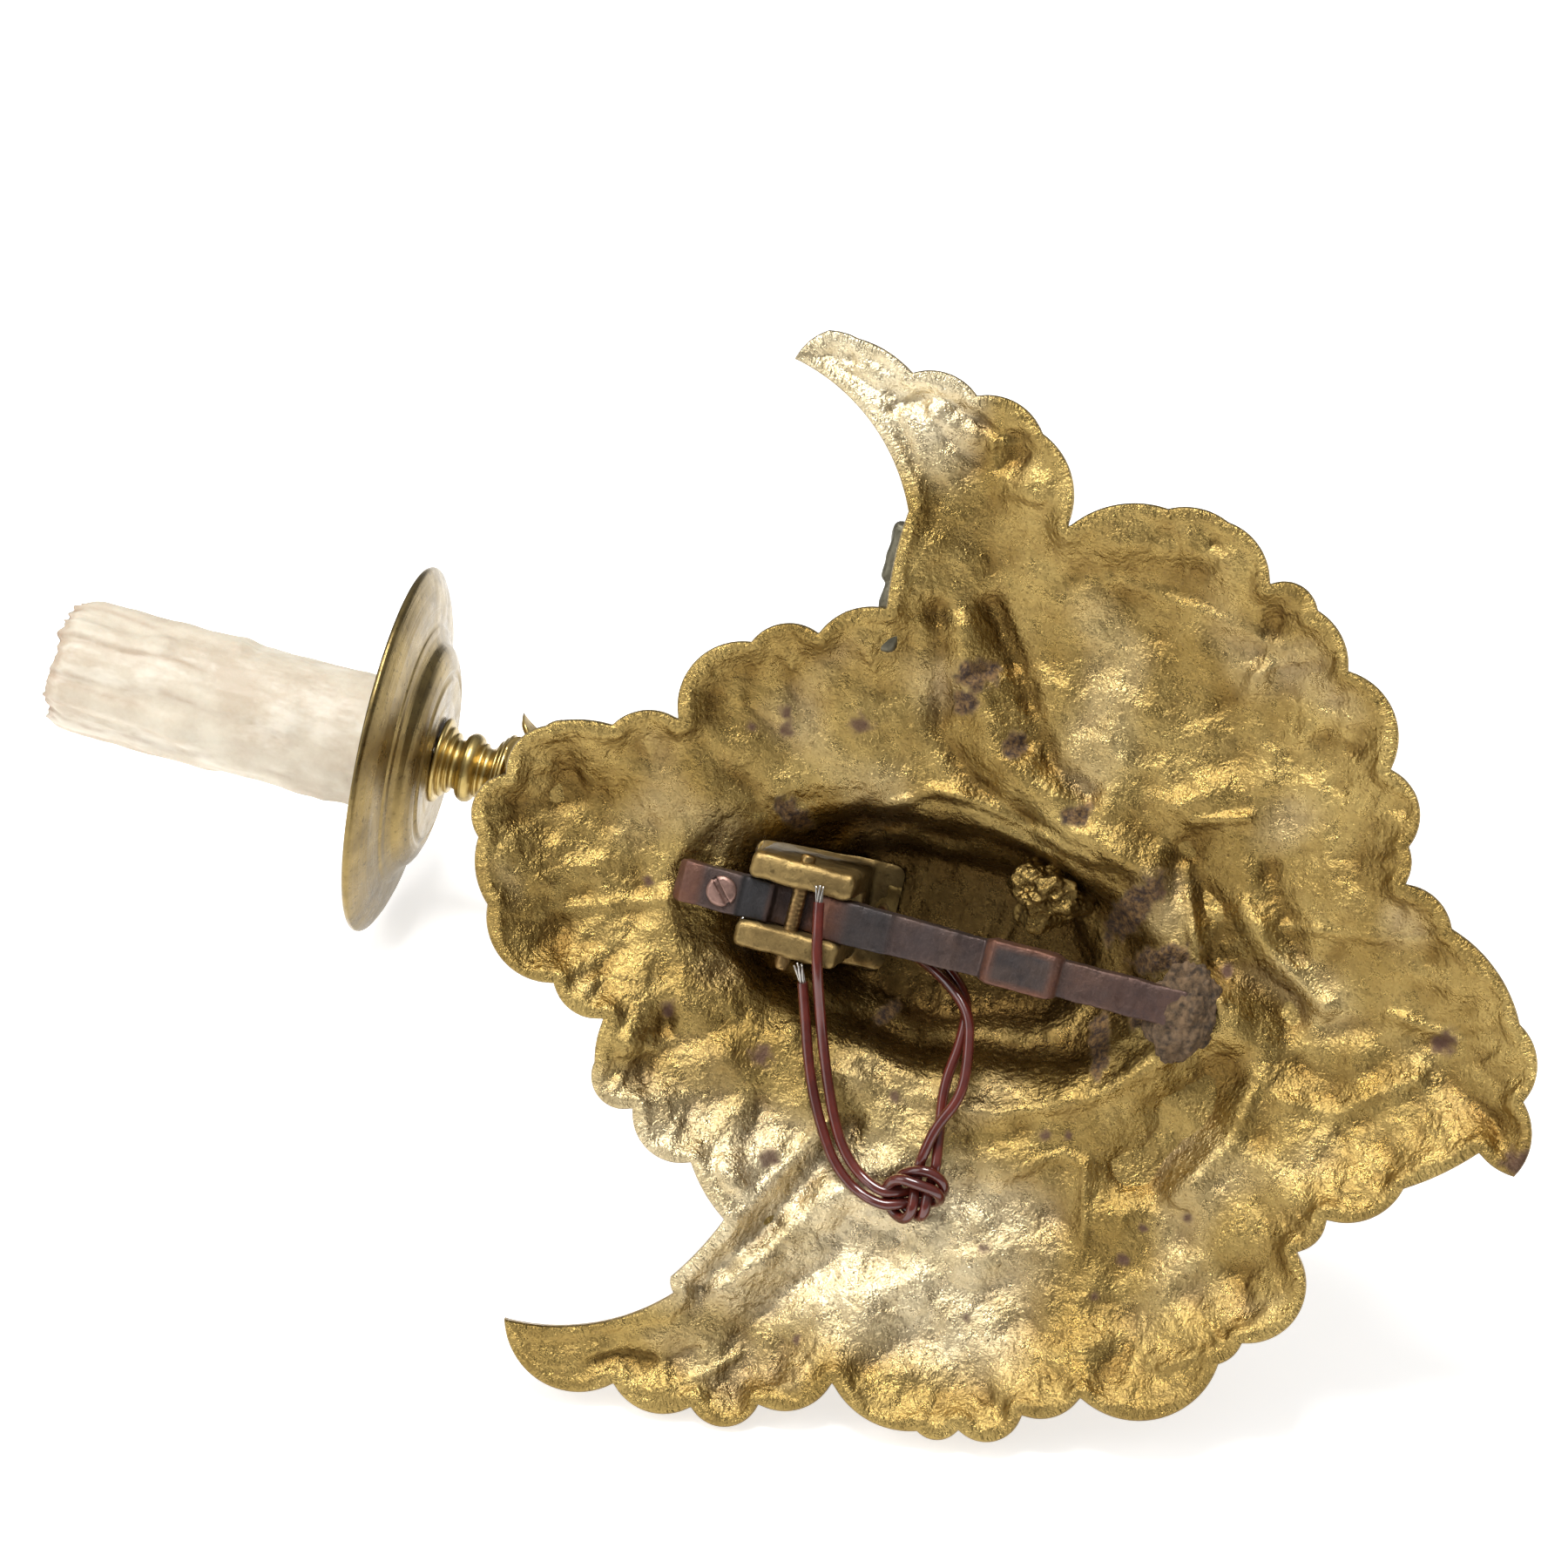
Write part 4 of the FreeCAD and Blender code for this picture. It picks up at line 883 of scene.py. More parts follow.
    def front(self, x, z):
        """The show side: a smoothed back about 4 mm out, with shell flutes, beads and veins."""
        gap, along, lobe = self.nearest(x, z)
        dish, hollow = self.broad(x, z, gap)
        depth = np.minimum(dish, -0.3) - HOLLOW_DEPTH * hollow - METAL
        flute = np.sin(math.pi * lobe) ** 0.6 - 0.5
        relief = 2.0 * flute * fade(0.8, 3, gap) * (1 - fade(10, 26, gap))
        angle = np.arctan2(x, z + 30)
        shell = np.abs(np.sin(angle * 9 + 0.4 * np.sin(angle * 3)))
        middle = fade(16, 26, gap) * (1 - fade(0.0, 0.25, hollow))
        relief += 1.6 * (shell ** 0.7 - 0.5) * middle
        band = np.exp(-((gap - 13 - 2 * np.sin(along / 22)) / 1.5) ** 2)
        relief += 1.8 * band
        seam = np.exp(-((gap - 16.5 - 2 * np.sin(along / 22)) / 0.8) ** 2)
        relief -= 0.9 * seam
        relief += 0.25 * grain(x / 4, z / 4, 16) + 0.12 * grain(x / 1.8, z / 1.8, 17)
        return depth + 0.8 * (1 - fade(0, 3, gap)) - relief * (1 - fade(0.25, 0.7, hollow))


def in_slot(x, z, margin):
    """Whether each point lies in the slot, made larger by a margin."""
    half, low, high = SLOT
    return (np.abs(x) < half + margin) & (z > low - margin) & (z < high + margin)


def slot_ring(step):
    """The slot's outline with rounded corners, as the fork's hole through the plate."""
    half, low, high = SLOT
    corner = 2
    points = []
    for x, z, start in ((half, high, 0), (-half, high, 90), (-half, low, 180), (half, low, 270)):
        for turn in range(0, 91, 15):
            angle = math.radians(start + turn)
            middle_x = x - math.copysign(corner, x)
            middle_z = z - math.copysign(corner, z - (low + high) / 2)
            points.append((middle_x + corner * math.cos(angle), middle_z + corner * math.sin(angle)))
    dense = []
    for (x0, z0), (x1, z1) in zip(points, points[1:] + points[:1]):
        count = max(1, round(math.hypot(x1 - x0, z1 - z0) / step))
        for number in range(count):
            dense.append((x0 + (x1 - x0) * number / count, z0 + (z1 - z0) * number / count))
    return np.array(dense)


def skin(plate, ring, hole, spacing):
    """Points and triangles of one side of the plate, between its edge and the slot."""
    low = plate.edge[:, :2].min(0)
    high = plate.edge[:, :2].max(0)
    columns = np.arange(low[0], high[0], spacing)
    rows = np.arange(low[1], high[1], spacing * ROW_SHARE)
    x, z = np.meshgrid(columns, rows)
    x = x + (np.arange(len(rows)) % 2)[:, None] * spacing / 2
    x, z = x.ravel(), z.ravel()
    keep = ring_holds(plate.edge[:, :2], x, z)
    x, z = x[keep], z[keep]
    near_ring = nearest_on(ring, x, z)[0]
    keep = (near_ring > 0.55 * spacing) & ~in_slot(x, z, 0.5 * spacing)
    gap = plate.nearest(x, z)[0]
    keep &= gap > 0.35 + 0.4 * spacing
    x, z = x[keep], z[keep]
    spots = np.concatenate([ring, hole, np.stack([x, z], 1)])
    count = len(ring)
    holes = len(hole)
    edges = [(number, (number + 1) % count) for number in range(count)]
    edges += [(count + number, count + (number + 1) % holes) for number in range(holes)]
    flat = [Vector((float(a), float(b))) for a, b in spots]
    made = geometry.delaunay_2d_cdt(flat, edges, [], 0, 1e-6)
    places = np.array([tuple(spot) for spot in made[0]])
    triangles = np.array(made[2])
    centre_x, centre_z = places[triangles].mean(1).T
    solid = ring_holds(ring, centre_x, centre_z) & ~ring_holds(hole, centre_x, centre_z)
    return places, triangles[solid]


def make_plate():
    """The plate's back, front and edge as one closed mesh, with the shades of its back."""
    plate = Plate()
    edge = plate.edge[:, :2]
    hole = slot_ring(0.7)
    inner = edge - 0.22 * plate.outwards
    back_spots, back_faces = skin(plate, inner, hole, BACK_SPACING)
    front_ring = (edge - 0.7 * plate.outwards)[::2]
    front_spots, front_faces = skin(plate, front_ring, hole, FRONT_SPACING)
    back_height, shades = plate.back(back_spots[:, 0], back_spots[:, 1])
    back_height[:len(edge)] = -0.02
    front_height = plate.front(front_spots[:, 0], front_spots[:, 1])
    upper = np.stack([back_spots[:, 0], back_height, back_spots[:, 1]], 1)
    lower = np.stack([front_spots[:, 0], front_height, front_spots[:, 1]], 1)
    side_a = np.stack([edge[:, 0], np.full(len(edge), -0.38), edge[:, 1]], 1)
    side_b = side_a - (0, 1.9, 0)
    points = np.concatenate([upper, lower, side_a, side_b])
    start_lower = len(upper)
    start_a = start_lower + len(lower)
    start_b = start_a + len(edge)
    faces = back_faces.tolist() + (front_faces[:, ::-1] + start_lower).tolist()
    count = len(edge)
    for number in range(count):
        after = (number + 1) % count
        faces.append((number, after, start_a + after, start_a + number))
        faces.append((start_a + number, start_a + after, start_b + after, start_b + number))
    fewer = len(front_ring)
    for number in range(fewer):
        after = (number + 1) % fewer
        first, middle, last = 2 * number, (2 * number + 1) % count, (2 * number + 2) % count
        if number == fewer - 1:
            last = 0
        near, far = start_lower + number, start_lower + after
        faces.append((start_b + first, start_b + middle, near))
        if middle != last:
            faces.append((start_b + middle, start_b + last, far, near))
    holes = len(hole)
    for number in range(holes):
        after = (number + 1) % holes
        top = (len(inner) + number, len(inner) + after)
        base = (start_lower + fewer + number, start_lower + fewer + after)
        faces.append((top[0], top[1], base[1], base[0]))
    piece = outward(new_piece("cast_backplate", points, faces))
    total = len(points)
    for name in ("inside", "along", "rim", "depth", "filler", "stain", "pale_and_painted_light"):
        values = np.zeros(total)
        values[:start_lower] = shades[name]
        give_values(piece, name, values)
    # Painted shade: the dips are stored for the material to darken.
    give_values(piece, "dip", dips_of(piece, start_lower))
    return dress(piece, GILT, stands_for=["backplate"])


def dips_of(piece, limit):
    """How far each point lies below its wider surroundings, from 0 to 1."""
    count = len(piece.data.vertices)
    places = np.empty(count * 3)
    piece.data.vertices.foreach_get("co", places)
    height = places.reshape(-1, 3)[:, 1] / MM
    ends = np.empty(len(piece.data.edges) * 2, int)
    piece.data.edges.foreach_get("vertices", ends)
    first, second = ends[0::2], ends[1::2]
    links = np.bincount(first, minlength=count) + np.bincount(second, minlength=count)
    spread = height.copy()
    for _ in range(60):
        total = np.bincount(first, spread[second], count) + np.bincount(second, spread[first], count)
        spread = 0.5 * spread + 0.5 * total / np.maximum(links, 1)
    dip = fade(0.02, 1.0, spread - height)
    dip[limit:] *= 0.8
    return dip


def ragged_lump(name, centre, sizes, seed):
    """A rough knob of metal left by the casting."""

    def place_of(spot):
        rough = 0.86 + layered(spot + Vector((seed, 0, 0)), (1.4, 0.42), (4, 0.12), (10, 0.04))
        return [middle + half * part * rough for middle, half, part in zip(centre, sizes, spot)]

    points, faces = ball_shape(place_of)
    piece = new_piece(name, points, faces)
    height = np.array(points)[:, 1]
    # Painted shade: the lump's side towards the plate is darkened as a dip, and all of it by a share of the
    # hollow's darkening.
    give_values(piece, "dip", fade(centre[1] + 0.3 * sizes[1], centre[1] - 0.5 * sizes[1], height))
    give_values(piece, "filler", 0.8 * fade(centre[1] + 0.1 * sizes[1], centre[1] - 0.7 * sizes[1], height))
    give_values(piece, "depth", np.full(len(height), 0.45))
    dress(piece, GILT, stands_for=["backplate"])


make_plate()
ragged_lump("casting_lump", (-12.5, -20.0, -40.0), (6.6, 7.0, 7.0), 3.0)


# ---------------------------------------------------------------- turned and built shapes
CANDLE_Y = -110.0


def lathe(name, profile, turns=96, wobble=0.0, tilt=0.0):
    """A closed ring of (radius, z) points turned about the candle's line."""
    points = []
    for number in range(turns):
        angle = 2 * math.pi * number / turns
        for step, (radius, z) in enumerate(profile):
            off = wobble * noise.noise(Vector((2 * math.cos(angle), 2 * math.sin(angle), z / 3)))
            points.append(((radius + off) * math.cos(angle), CANDLE_Y + (radius + off) * math.sin(angle), z))
    if tilt:
        middle_z = sum(z for _, z in profile) / len(profile)
        lean = Matrix.Rotation(math.radians(tilt), 3, "Y")
        centre = Vector((0, CANDLE_Y, middle_z))
        points = [tuple(centre + lean @ (Vector(point) - centre)) for point in points]
    piece = outward(new_piece(name, points, turned_faces(turns, len(profile))))
    place = np.array(points)
    marks_per_mm = 2.2
    give_values(piece, "ring", marks_per_mm * np.hypot(place[:, 0], place[:, 1] - CANDLE_Y))
    give_values(piece, "flat", marks_per_mm * place[:, 2])
    return piece


def rounded(points, step=0.35):
    """A profile through the points with its corners softened."""
    path = [Vector(point) for point in points]
    soft = []
    for before, here, after in zip(path[-1:] + path[:-1], path, path[1:] + path[:1]):
        reach = min(step, 0.4 * (here - before).length, 0.4 * (after - here).length)
        start = here + (before - here).normalized() * reach
        end = here + (after - here).normalized() * reach
        for share in (0, 0.33, 0.67, 1):
            soft.append(tuple(start.lerp(here, share).lerp(here.lerp(end, share), share)))
    return soft


def box_points(low, high, radius, spacing):
    """Points and faces of a box with rounded edges, fine enough to dent."""
    low = np.array(low, float)
    high = np.array(high, float)
    points = []
    faces = []
    for axis in range(3):
        first, second = (axis + 1) % 3, (axis + 2) % 3
        counts = [max(4, int((high[side] - low[side]) / spacing)) for side in (first, second)]
        for end in (low, high):
            base = len(points)
            for row in range(counts[0] + 1):
                for column in range(counts[1] + 1):
                    spot = np.zeros(3)
                    spot[axis] = end[axis]
                    spot[first] = low[first] + (high[first] - low[first]) * row / counts[0]
                    spot[second] = low[second] + (high[second] - low[second]) * column / counts[1]
                    core = np.clip(spot, low + radius, high - radius)
                    away = spot - core
                    points.append(core + radius * away / max(1e-9, np.linalg.norm(away)))
            for row in range(counts[0]):
                for column in range(counts[1]):
                    corner = base + row * (counts[1] + 1) + column
                    faces.append((corner, corner + 1, corner + counts[1] + 2, corner + counts[1] + 1))
    return points, faces


def joined(name, shapes):
    """One mesh from several (points, faces) shapes."""
    points = []
    faces = []
    for more_points, more_faces in shapes:
        base = len(points)
        points += [tuple(point) for point in more_points]
        faces += [tuple(base + corner for corner in face) for face in more_faces]
    return outward(new_piece(name, points, faces), weld=0.02)


def run_modifier(piece, kind, **settings):
    """Apply one modifier straight away."""
    modifier = piece.modifiers.new("shape", kind)
    for name, value in settings.items():
        setattr(modifier, name, value)
    shaped = piece.evaluated_get(bpy.context.evaluated_depsgraph_get())
    old = piece.data
    piece.data = bpy.data.meshes.new_from_object(shaped)
    piece.modifiers.clear()
    bpy.data.meshes.remove(old)
    piece.data.name = piece.name


def recast(piece, voxel, smooth=3):
    """Weld overlapping shapes into one cast skin."""
    run_modifier(piece, "REMESH", mode="VOXEL", voxel_size=voxel * MM, adaptivity=0)
    run_modifier(piece, "SMOOTH", iterations=smooth, factor=0.5)
    piece.data.polygons.foreach_set("use_smooth", [True] * len(piece.data.polygons))


def roughen(piece, *layers):
    """Move each point along its normal by noise: (wavelength, height) in millimetres."""
    count = len(piece.data.vertices)
    normals = np.empty(count * 3, np.float32)
    piece.data.vertex_normals.foreach_get("vector", normals)
    places = np.empty(count * 3, np.float32)
    piece.data.vertices.foreach_get("co", places)
    lifts = np.zeros(count)
    for number, place in enumerate(places.reshape(-1, 3)):
        spot = Vector(place) / MM
        lifts[number] = sum(height * noise.noise(spot / wavelength) for wavelength, height in layers)
    moved = places.reshape(-1, 3) + normals.reshape(-1, 3) * lifts[:, None] * MM
    piece.data.vertices.foreach_set("co", moved.astype(np.float32).ravel())
    piece.data.update()


def tube_along(line, radius_at, corners=28):
    """A closed tube along points, whose radius depends on the share of the way and the angle."""
    points = []
    across = (line[1] - line[0]).orthogonal().normalized()
    count = len(line)
    for number, middle in enumerate(line):
        ahead = (line[min(number + 1, count - 1)] - line[max(number - 1, 0)]).normalized()
        across = (across - ahead * across.dot(ahead)).normalized()
        beside = ahead.cross(across)
        for corner in range(corners):
            angle = 2 * math.pi * corner / corners
            radius = radius_at(number / (count - 1), angle)
            points.append(middle + radius * (math.cos(angle) * across + math.sin(angle) * beside))
    return points, tube_faces(count, corners)


def bent_path(route, radius, spacing):
    """Points along straight runs joined by arcs, as a bender makes them."""
    path = [Vector(point) for point in route]
    line = [path[0]]
    for before, here, after in zip(path, path[1:], path[2:]):
        first = (before - here).normalized()
        second = (after - here).normalized()
        half = first.angle(second) / 2
        cut = min(radius / math.tan(half), 0.48 * (here - before).length, 0.48 * (after - here).length)
        centre = here + (first + second).normalized() * (cut / math.cos(half))
        start = here + first * cut - centre
        end = here + second * cut - centre
        count = max(4, round(start.angle(end) * start.length / spacing))
        for number in range(count + 1):
            line.append(centre + start.normalized().slerp(end.normalized(), number / count) * start.length)
    line.append(path[-1])
    dense = [line[0]]
    for start, end in zip(line, line[1:]):
        count = max(1, round((end - start).length / spacing))
        for number in range(1, count + 1):
            dense.append(start.lerp(end, number / count))
    apart = [dense[0]]
    for before, point in zip(dense, dense[1:]):
        if (point - before).length > 0.05:
            apart.append(point)
    return apart


# ---------------------------------------------------------------- iron bar and its fixings
def make_bar():
    """The forged bar, as sections down its length: (z, back y, front y, half width)."""
    sections = [
        (21.0, -6.2, -8.6, 3.0), (20.7, -5.6, -9.0, 3.4), (19.6, -4.5, -9.3, 3.6),
        (17.6, -4.3, -9.3, 3.5), (9.9, -4.25, -9.3, 3.5), (9.3, -4.75, -9.3, 3.5),
        (5.2, -4.8, -9.3, 3.45), (4.4, -5.0, -9.3, 3.5), (3.9, -7.3, -9.3, 3.45),
        (3.0, -7.6, -9.3, 3.4), (-2.8, -7.6, -9.3, 3.4), (-3.5, -7.2, -9.3, 3.5),
        (-4.2, -5.0, -9.3, 3.6), (-5.6, -4.3, -9.3, 3.65), (-7.2, -4.2, -9.3, 3.65),
        (-16.4, -4.2, -9.3, 3.5), (-17.2, -4.7, -9.3, 3.5), (-18.4, -4.85, -9.3, 3.45),
        (-27.6, -4.5, -9.3, 3.3), (-28.6, -4.9, -9.3, 3.2), (-32.6, -5.3, -9.3, 3.2),
        (-33.5, -3.9, -9.3, 3.5), (-34.2, -3.3, -9.3, 3.8), (-44.9, -3.2, -9.3, 3.8),
        (-45.7, -3.8, -9.3, 3.6), (-46.4, -5.2, -9.3, 3.2), (-56.0, -5.2, -9.3, 3.2),
        (-57.0, -5.4, -9.3, 3.2), (-67.5, -5.2, -9.3, 3.3), (-68.0, -5.5, -9.0, 3.0),
    ]
    rows = []
    for (z0, *first), (z1, *last) in zip(sections, sections[1:]):
        count = max(1, round((z0 - z1) / 0.55))
        for number in range(count):
            share = number / count
            rows.append((z0 + (z1 - z0) * share, *(a + (b - a) * share for a, b in zip(first, last))))
    rows.append(sections[-1])
    points = []
    for z, back, front, half in rows:
        half += 0.12 * noise.noise(Vector((0, 3, z / 5)))
        back += 0.10 * noise.noise(Vector((5, 0, z / 4)))
        bevel = 0.42 + 0.15 * noise.noise(Vector((1, 1, z / 3)))
        outline = [
            (-half, front + bevel), (-half, back - bevel), (-half + 0.3 * bevel, back - 0.3 * bevel),
            (-half + bevel, back), (-half / 3, back), (half / 3, back), (half - bevel, back),
            (half - 0.3 * bevel, back - 0.3 * bevel), (half, back - bevel), (half, front + bevel),
            (half - bevel, front), (-half + bevel, front),
        ]
        points += [(x, y, z) for x, y in outline]
    piece = outward(new_piece("crossbar", points, tube_faces(len(rows), len(outline))))
    run_modifier(piece, "SUBSURF", levels=1, subdivision_type="SIMPLE")
    roughen(piece, (3.0, 0.10), (1.1, 0.07), (0.5, 0.03))
    place = np.array([vertex.co / MM for vertex in piece.data.vertices])
    z = place[:, 2]
    rust = 0.16 + 0.75 * fade(15.5, 17.5, z) + 0.8 * fade(-9.5, -5.5, z) * fade(-1, -3, z)
    ends_of_pad = np.maximum(fade(-35.6, -33.6, z), fade(-43.6, -45.4, z))
    edge_of_pad = np.maximum(fade(2.4, 3.6, np.abs(place[:, 0])), ends_of_pad)
    on_pad = fade(-47, -45.6, z) * fade(-32.4, -33.6, z)
    rust = np.where(on_pad > 0.5, 0.95 * edge_of_pad, rust)
    rust += 0.25 * fade(-46, -49, z)
    upper_flat = fade(4.6, 5.4, z) * fade(10.4, 9.5, z)
    lower_flat = 0.75 * fade(-17.5, -15.5, z) * fade(-8, -10, z)
    filed = np.maximum(upper_flat, lower_flat)
    give_values(piece, "rust", np.clip(rust, 0, 1))
    give_values(piece, "filed", filed * (place[:, 1] > -6))
    dress(piece, IRON, stands_for=["iron_crossbar"])


def make_screw():
    """A domed slotted head on its shank; the slot lies across the bar."""
    profile = [
        (0.01, -3.3), (1.2, -3.28), (2.1, -3.45), (2.55, -3.75), (2.65, -4.1), (2.6, -4.6), (1.3, -4.7),
        (1.3, -9.0), (0.01, -9.0),
    ]
    points = []
    turns = 72
    slot_floor = -4.05
    slot_depth = 0.75
    screw_z = 12.8
    slot_angle = math.radians(-42)
    dense = []
    for (r0, y0), (r1, y1) in zip(profile, profile[1:]):
        count = max(1, round(math.hypot(r1 - r0, y1 - y0) / 0.16))
        dense += [(r0 + (r1 - r0) * n / count, y0 + (y1 - y0) * n / count) for n in range(count)]
    dense.append(profile[-1])
    for number in range(turns):
        angle = 2 * math.pi * number / turns
        for radius, y in dense:
            x = radius * math.cos(angle)
            z = radius * math.sin(angle)
            off = abs(x * math.sin(slot_angle) - z * math.cos(slot_angle))
            if y > slot_floor:
                y -= slot_depth * (1 - float(fade(0.34, 0.48, off)))
            points.append((x, y, screw_z + z))
    count = len(dense)
    faces = turned_faces(turns, count, closed=False)
    faces.append(tuple(number * count for number in range(turns)))
    faces.append(tuple((turns - 1 - number) * count + count - 1 for number in range(turns)))
    piece = outward(new_piece("slotted_screw", points, faces))
    roughen(piece, (1.2, 0.03), (0.5, 0.02))
    dress(piece, SCREW_STEEL, stands_for=["crossbar_screw"])


def make_filler():
    """Crumbly filler that the bar's lower end is bedded in."""

    def place_of(spot):
        rough = 1 + layered(spot, (2.2, 0.20), (6, 0.08), (14, 0.04))
        sized = Vector((8.6 * spot.x, 3.8 * spot.y, 6.4 * spot.z))
        return sized * rough * 0.95 + Vector((0.5, -8.4, -67.5))

    piece = new_piece("lower_filler", *ball_shape(place_of))
    dress(piece, FILLER, stands_for=["lower_end_filler"])


def make_pin():
    """The cross pin: drawn rod, nicked by pliers, with one end battered flat."""
    points = []
    corners = 32
    rows = 110
    start = -9.6
    length = 20.2
    line_y = -6.1
    for number in range(rows + 1):
        share = number / rows
        x = start + length * share
        end = min(share, 1 - share) * length
        radius = 1.3 * math.sqrt(max(0.0, 1 - (1 - min(1, end / 0.5)) ** 2)) * 0.5 + 0.65
        flat = float(fade(0.93, 0.99, share))
        for corner in range(corners):
            angle = 2 * math.pi * corner / corners
            nick = 0.07 * noise.noise(Vector((x / 0.8, 2 * math.cos(angle), 2 * math.sin(angle))))
            ribs = 0.035 * math.sin(x * 7.5) * (abs(x) < 3.6)
            size = radius + nick + ribs
            y = line_y + size * math.cos(angle) * (1 + 0.12 * flat)
            z = size * math.sin(angle) * (1 - 0.18 * flat)
            points.append((x, y, z))
    piece = outward(new_piece("cross_pin", points, tube_faces(rows + 1, corners)))
    dress(piece, PIN_BRASS, body="pin", stands_for=["cotter_pin"])


# ---------------------------------------------------------------- arm
ARM_ROUTE = [(0, -34.2, -12), (0, -50, -13), (0, -72, -20), (0, -98, -8), (0, -110, 24), (0, -110, 69.5)]


def make_arm():
    """The arm's fork and shoulder, cast in one with the ribbed branch and its leaves."""
    fork = [
        box_points((3.65, -30, -9.0), (8.25, -3.15, 9.0), 1.1, 0.8),
        box_points((-8.25, -30, -9.0), (-3.65, -3.0, 9.0), 1.1, 0.8),
        box_points((-8.25, -43, -9.0), (8.25, -26, 9.0), 0.8, 0.9),
        box_points((-10.6, -40, -17.6), (10.6, -34.2, 11.6), 2.6, 1.0),
        shell_boss((0, -37.5, -3.0), (12.2, 6.4, 17.0)),
    ]
    piece = joined("arm_fork", fork)
    recast(piece, 0.42, 2)
    roughen(piece, (4.0, 0.22), (1.6, 0.14), (0.7, 0.05))
    dress(piece, FORK_BRASS, stands_for=["arm"])

    line = bent_path(ARM_ROUTE, 24, 0.9)

    def branch_radius(share, angle):
        ribs = 0.55 * abs(math.cos(3 * angle + 16 * share)) ** 0.7
        swellings = ((0, 0.06, 1.5), (0.42, 0.05, 1.0), (0.64, 0.012, 1.3), (0.955, 0.014, 0.9))
        swell = sum(height * math.exp(-((share - place) / width) ** 2) for place, width, height in swellings)
        return 4.35 + ribs + swell

    branch = [tube_along(line, branch_radius, 48)]
    # each leaf's start along the branch, its place round it and its length
    leaves = ((0.10, 0.6, 15), (0.28, 3.4, 17), (0.47, 1.2, 16), (0.67, 4.2, 15), (0.74, 1.2, 13))
    for leaf in leaves:
        branch.append(leaf_shape(line, *leaf))
    piece = joined("arm_branch", branch)
    recast(piece, 0.55, 1)
    roughen(piece, (2.2, 0.12), (0.9, 0.06))
    dress(piece, ARM_GILT, stands_for=["arm"])


def shell_boss(centre, sizes):
    """A domed shell with flutes that fan from its lower end, where the arm leaves the plate."""
    fan_z = 1.25
    flutes = 7

    def place_of(spot):
        x, y, z = spot
        fan = math.atan2(x, z + fan_z)
        flute = 0.13 * abs(math.cos(flutes * fan)) ** 0.7 * min(1, math.hypot(x, z + fan_z))
        scallop = 1 + 0.06 * abs(math.cos(flutes * fan))
        raised = y * (0.85 + flute) if y < 0 else 0.5 * y
        shaped = (x * scallop, raised, z * scallop)
        return [middle + half * part for middle, half, part in zip(centre, sizes, shaped)]

    return ball_shape(place_of)


def leaf_shape(line, start, turn, length):
    """A leaf that hugs the branch and curls away at its tip, as a closed thin solid."""
    first = int(start * (len(line) - 1))
    rows = 16
    columns = 8
    top = []
    under = []
    spacing = (line[1] - line[0]).length if (line[1] - line[0]).length > 0.2 else 0.9
    for row in range(rows + 1):
        share = row / rows
        index = min(len(line) - 2, first + int(round(share * length / spacing)))
        middle = line[index]
        ahead = (line[index + 1] - line[index]).normalized()
        side = ahead.cross(Vector((1, 0, 0))).normalized()
        beside = ahead.cross(side)
        half = 0.95 * math.sin(math.pi * min(1, 0.12 + 0.88 * share)) ** 0.7
        half *= 1 + 0.16 * math.sin(share * 19)
        for column in range(columns + 1):
            place = 2 * column / columns - 1
            angle = turn + place * half
            vein = 0.5 * math.exp(-(place / 0.16) ** 2)
            lift = 5.4 + vein + 2.4 * share ** 3 + 0.5 * abs(place)
            for store, radius in ((top, lift), (under, lift - 1.7)):
                store.append(middle + radius * (math.cos(angle) * side + math.sin(angle) * beside))
    points = top + under
    faces = []
    total = (rows + 1) * (columns + 1)
    for row in range(rows):
        for column in range(columns):
            corner = row * (columns + 1) + column
            quad = (corner, corner + 1, corner + columns + 2, corner + columns + 1)
            faces.append(quad)
            faces.append(tuple(total + part for part in reversed(quad)))
    rim = [row * (columns + 1) for row in range(rows + 1)]
    rim += [rows * (columns + 1) + column for column in range(1, columns + 1)]
    rim += [row * (columns + 1) + columns for row in range(rows - 1, -1, -1)]
    rim += [column for column in range(columns - 1, 0, -1)]
    for first_corner, second_corner in zip(rim, rim[1:] + rim[:1]):
        faces.append((first_corner, total + first_corner, total + second_corner, second_corner))
    return points, faces


def make_leaf_cup():
    """Six leaves that open round the foot of the stem."""
    turns = 180
    outer_rows = 26
    inner_rows = 18
    foot_z = 57.5
    bore = 5.1
    points = []
    for number in range(turns):
        angle = 2 * math.pi * number / turns
        lobe = abs(math.cos(3 * angle)) ** 0.42
        top = 64.2 + 5.7 * lobe
        for row in range(outer_rows):
            share = row / (outer_rows - 1)
            z = foot_z + (top - foot_z) * share
            flare = 5.8 + 1.6 * math.sin(math.pi / 2 * min(1, share * 1.5))
            flare += 5.3 * share ** 2.2 * lobe
            vein = 0.45 * lobe ** 8 * math.sin(math.pi * min(1, share * 1.05))
            crease = 0.22 * abs(math.sin(9 * angle)) * share
            points.append(((flare + vein - crease), angle, z))
        tip = points[-1]
        for row in range(inner_rows):
            share = row / (inner_rows - 1)
            z = tip[2] - 0.15 - (tip[2] - 64.7) * share if tip[2] > 64.9 else tip[2] - 0.02 * row
            radius = (tip[0] - 1.7) * (1 - share) ** 1.4 + 6.3 * (1 - (1 - share) ** 1.4)
            points.append((min(radius, tip[0] - 0.9), angle, z))
        points.append((bore, angle, 64.6))
        points.append((bore, angle, foot_z))
    round_points = [(r * math.cos(a), CANDLE_Y + r * math.sin(a), z) for r, a, z in points]
    faces = turned_faces(turns, outer_rows + inner_rows + 2)
    piece = outward(new_piece("leaf_cup", round_points, faces))
    roughen(piece, (2.5, 0.10), (0.9, 0.04))
    dress(piece, ARM_GILT, stands_for=["arm_leaf_collar"])


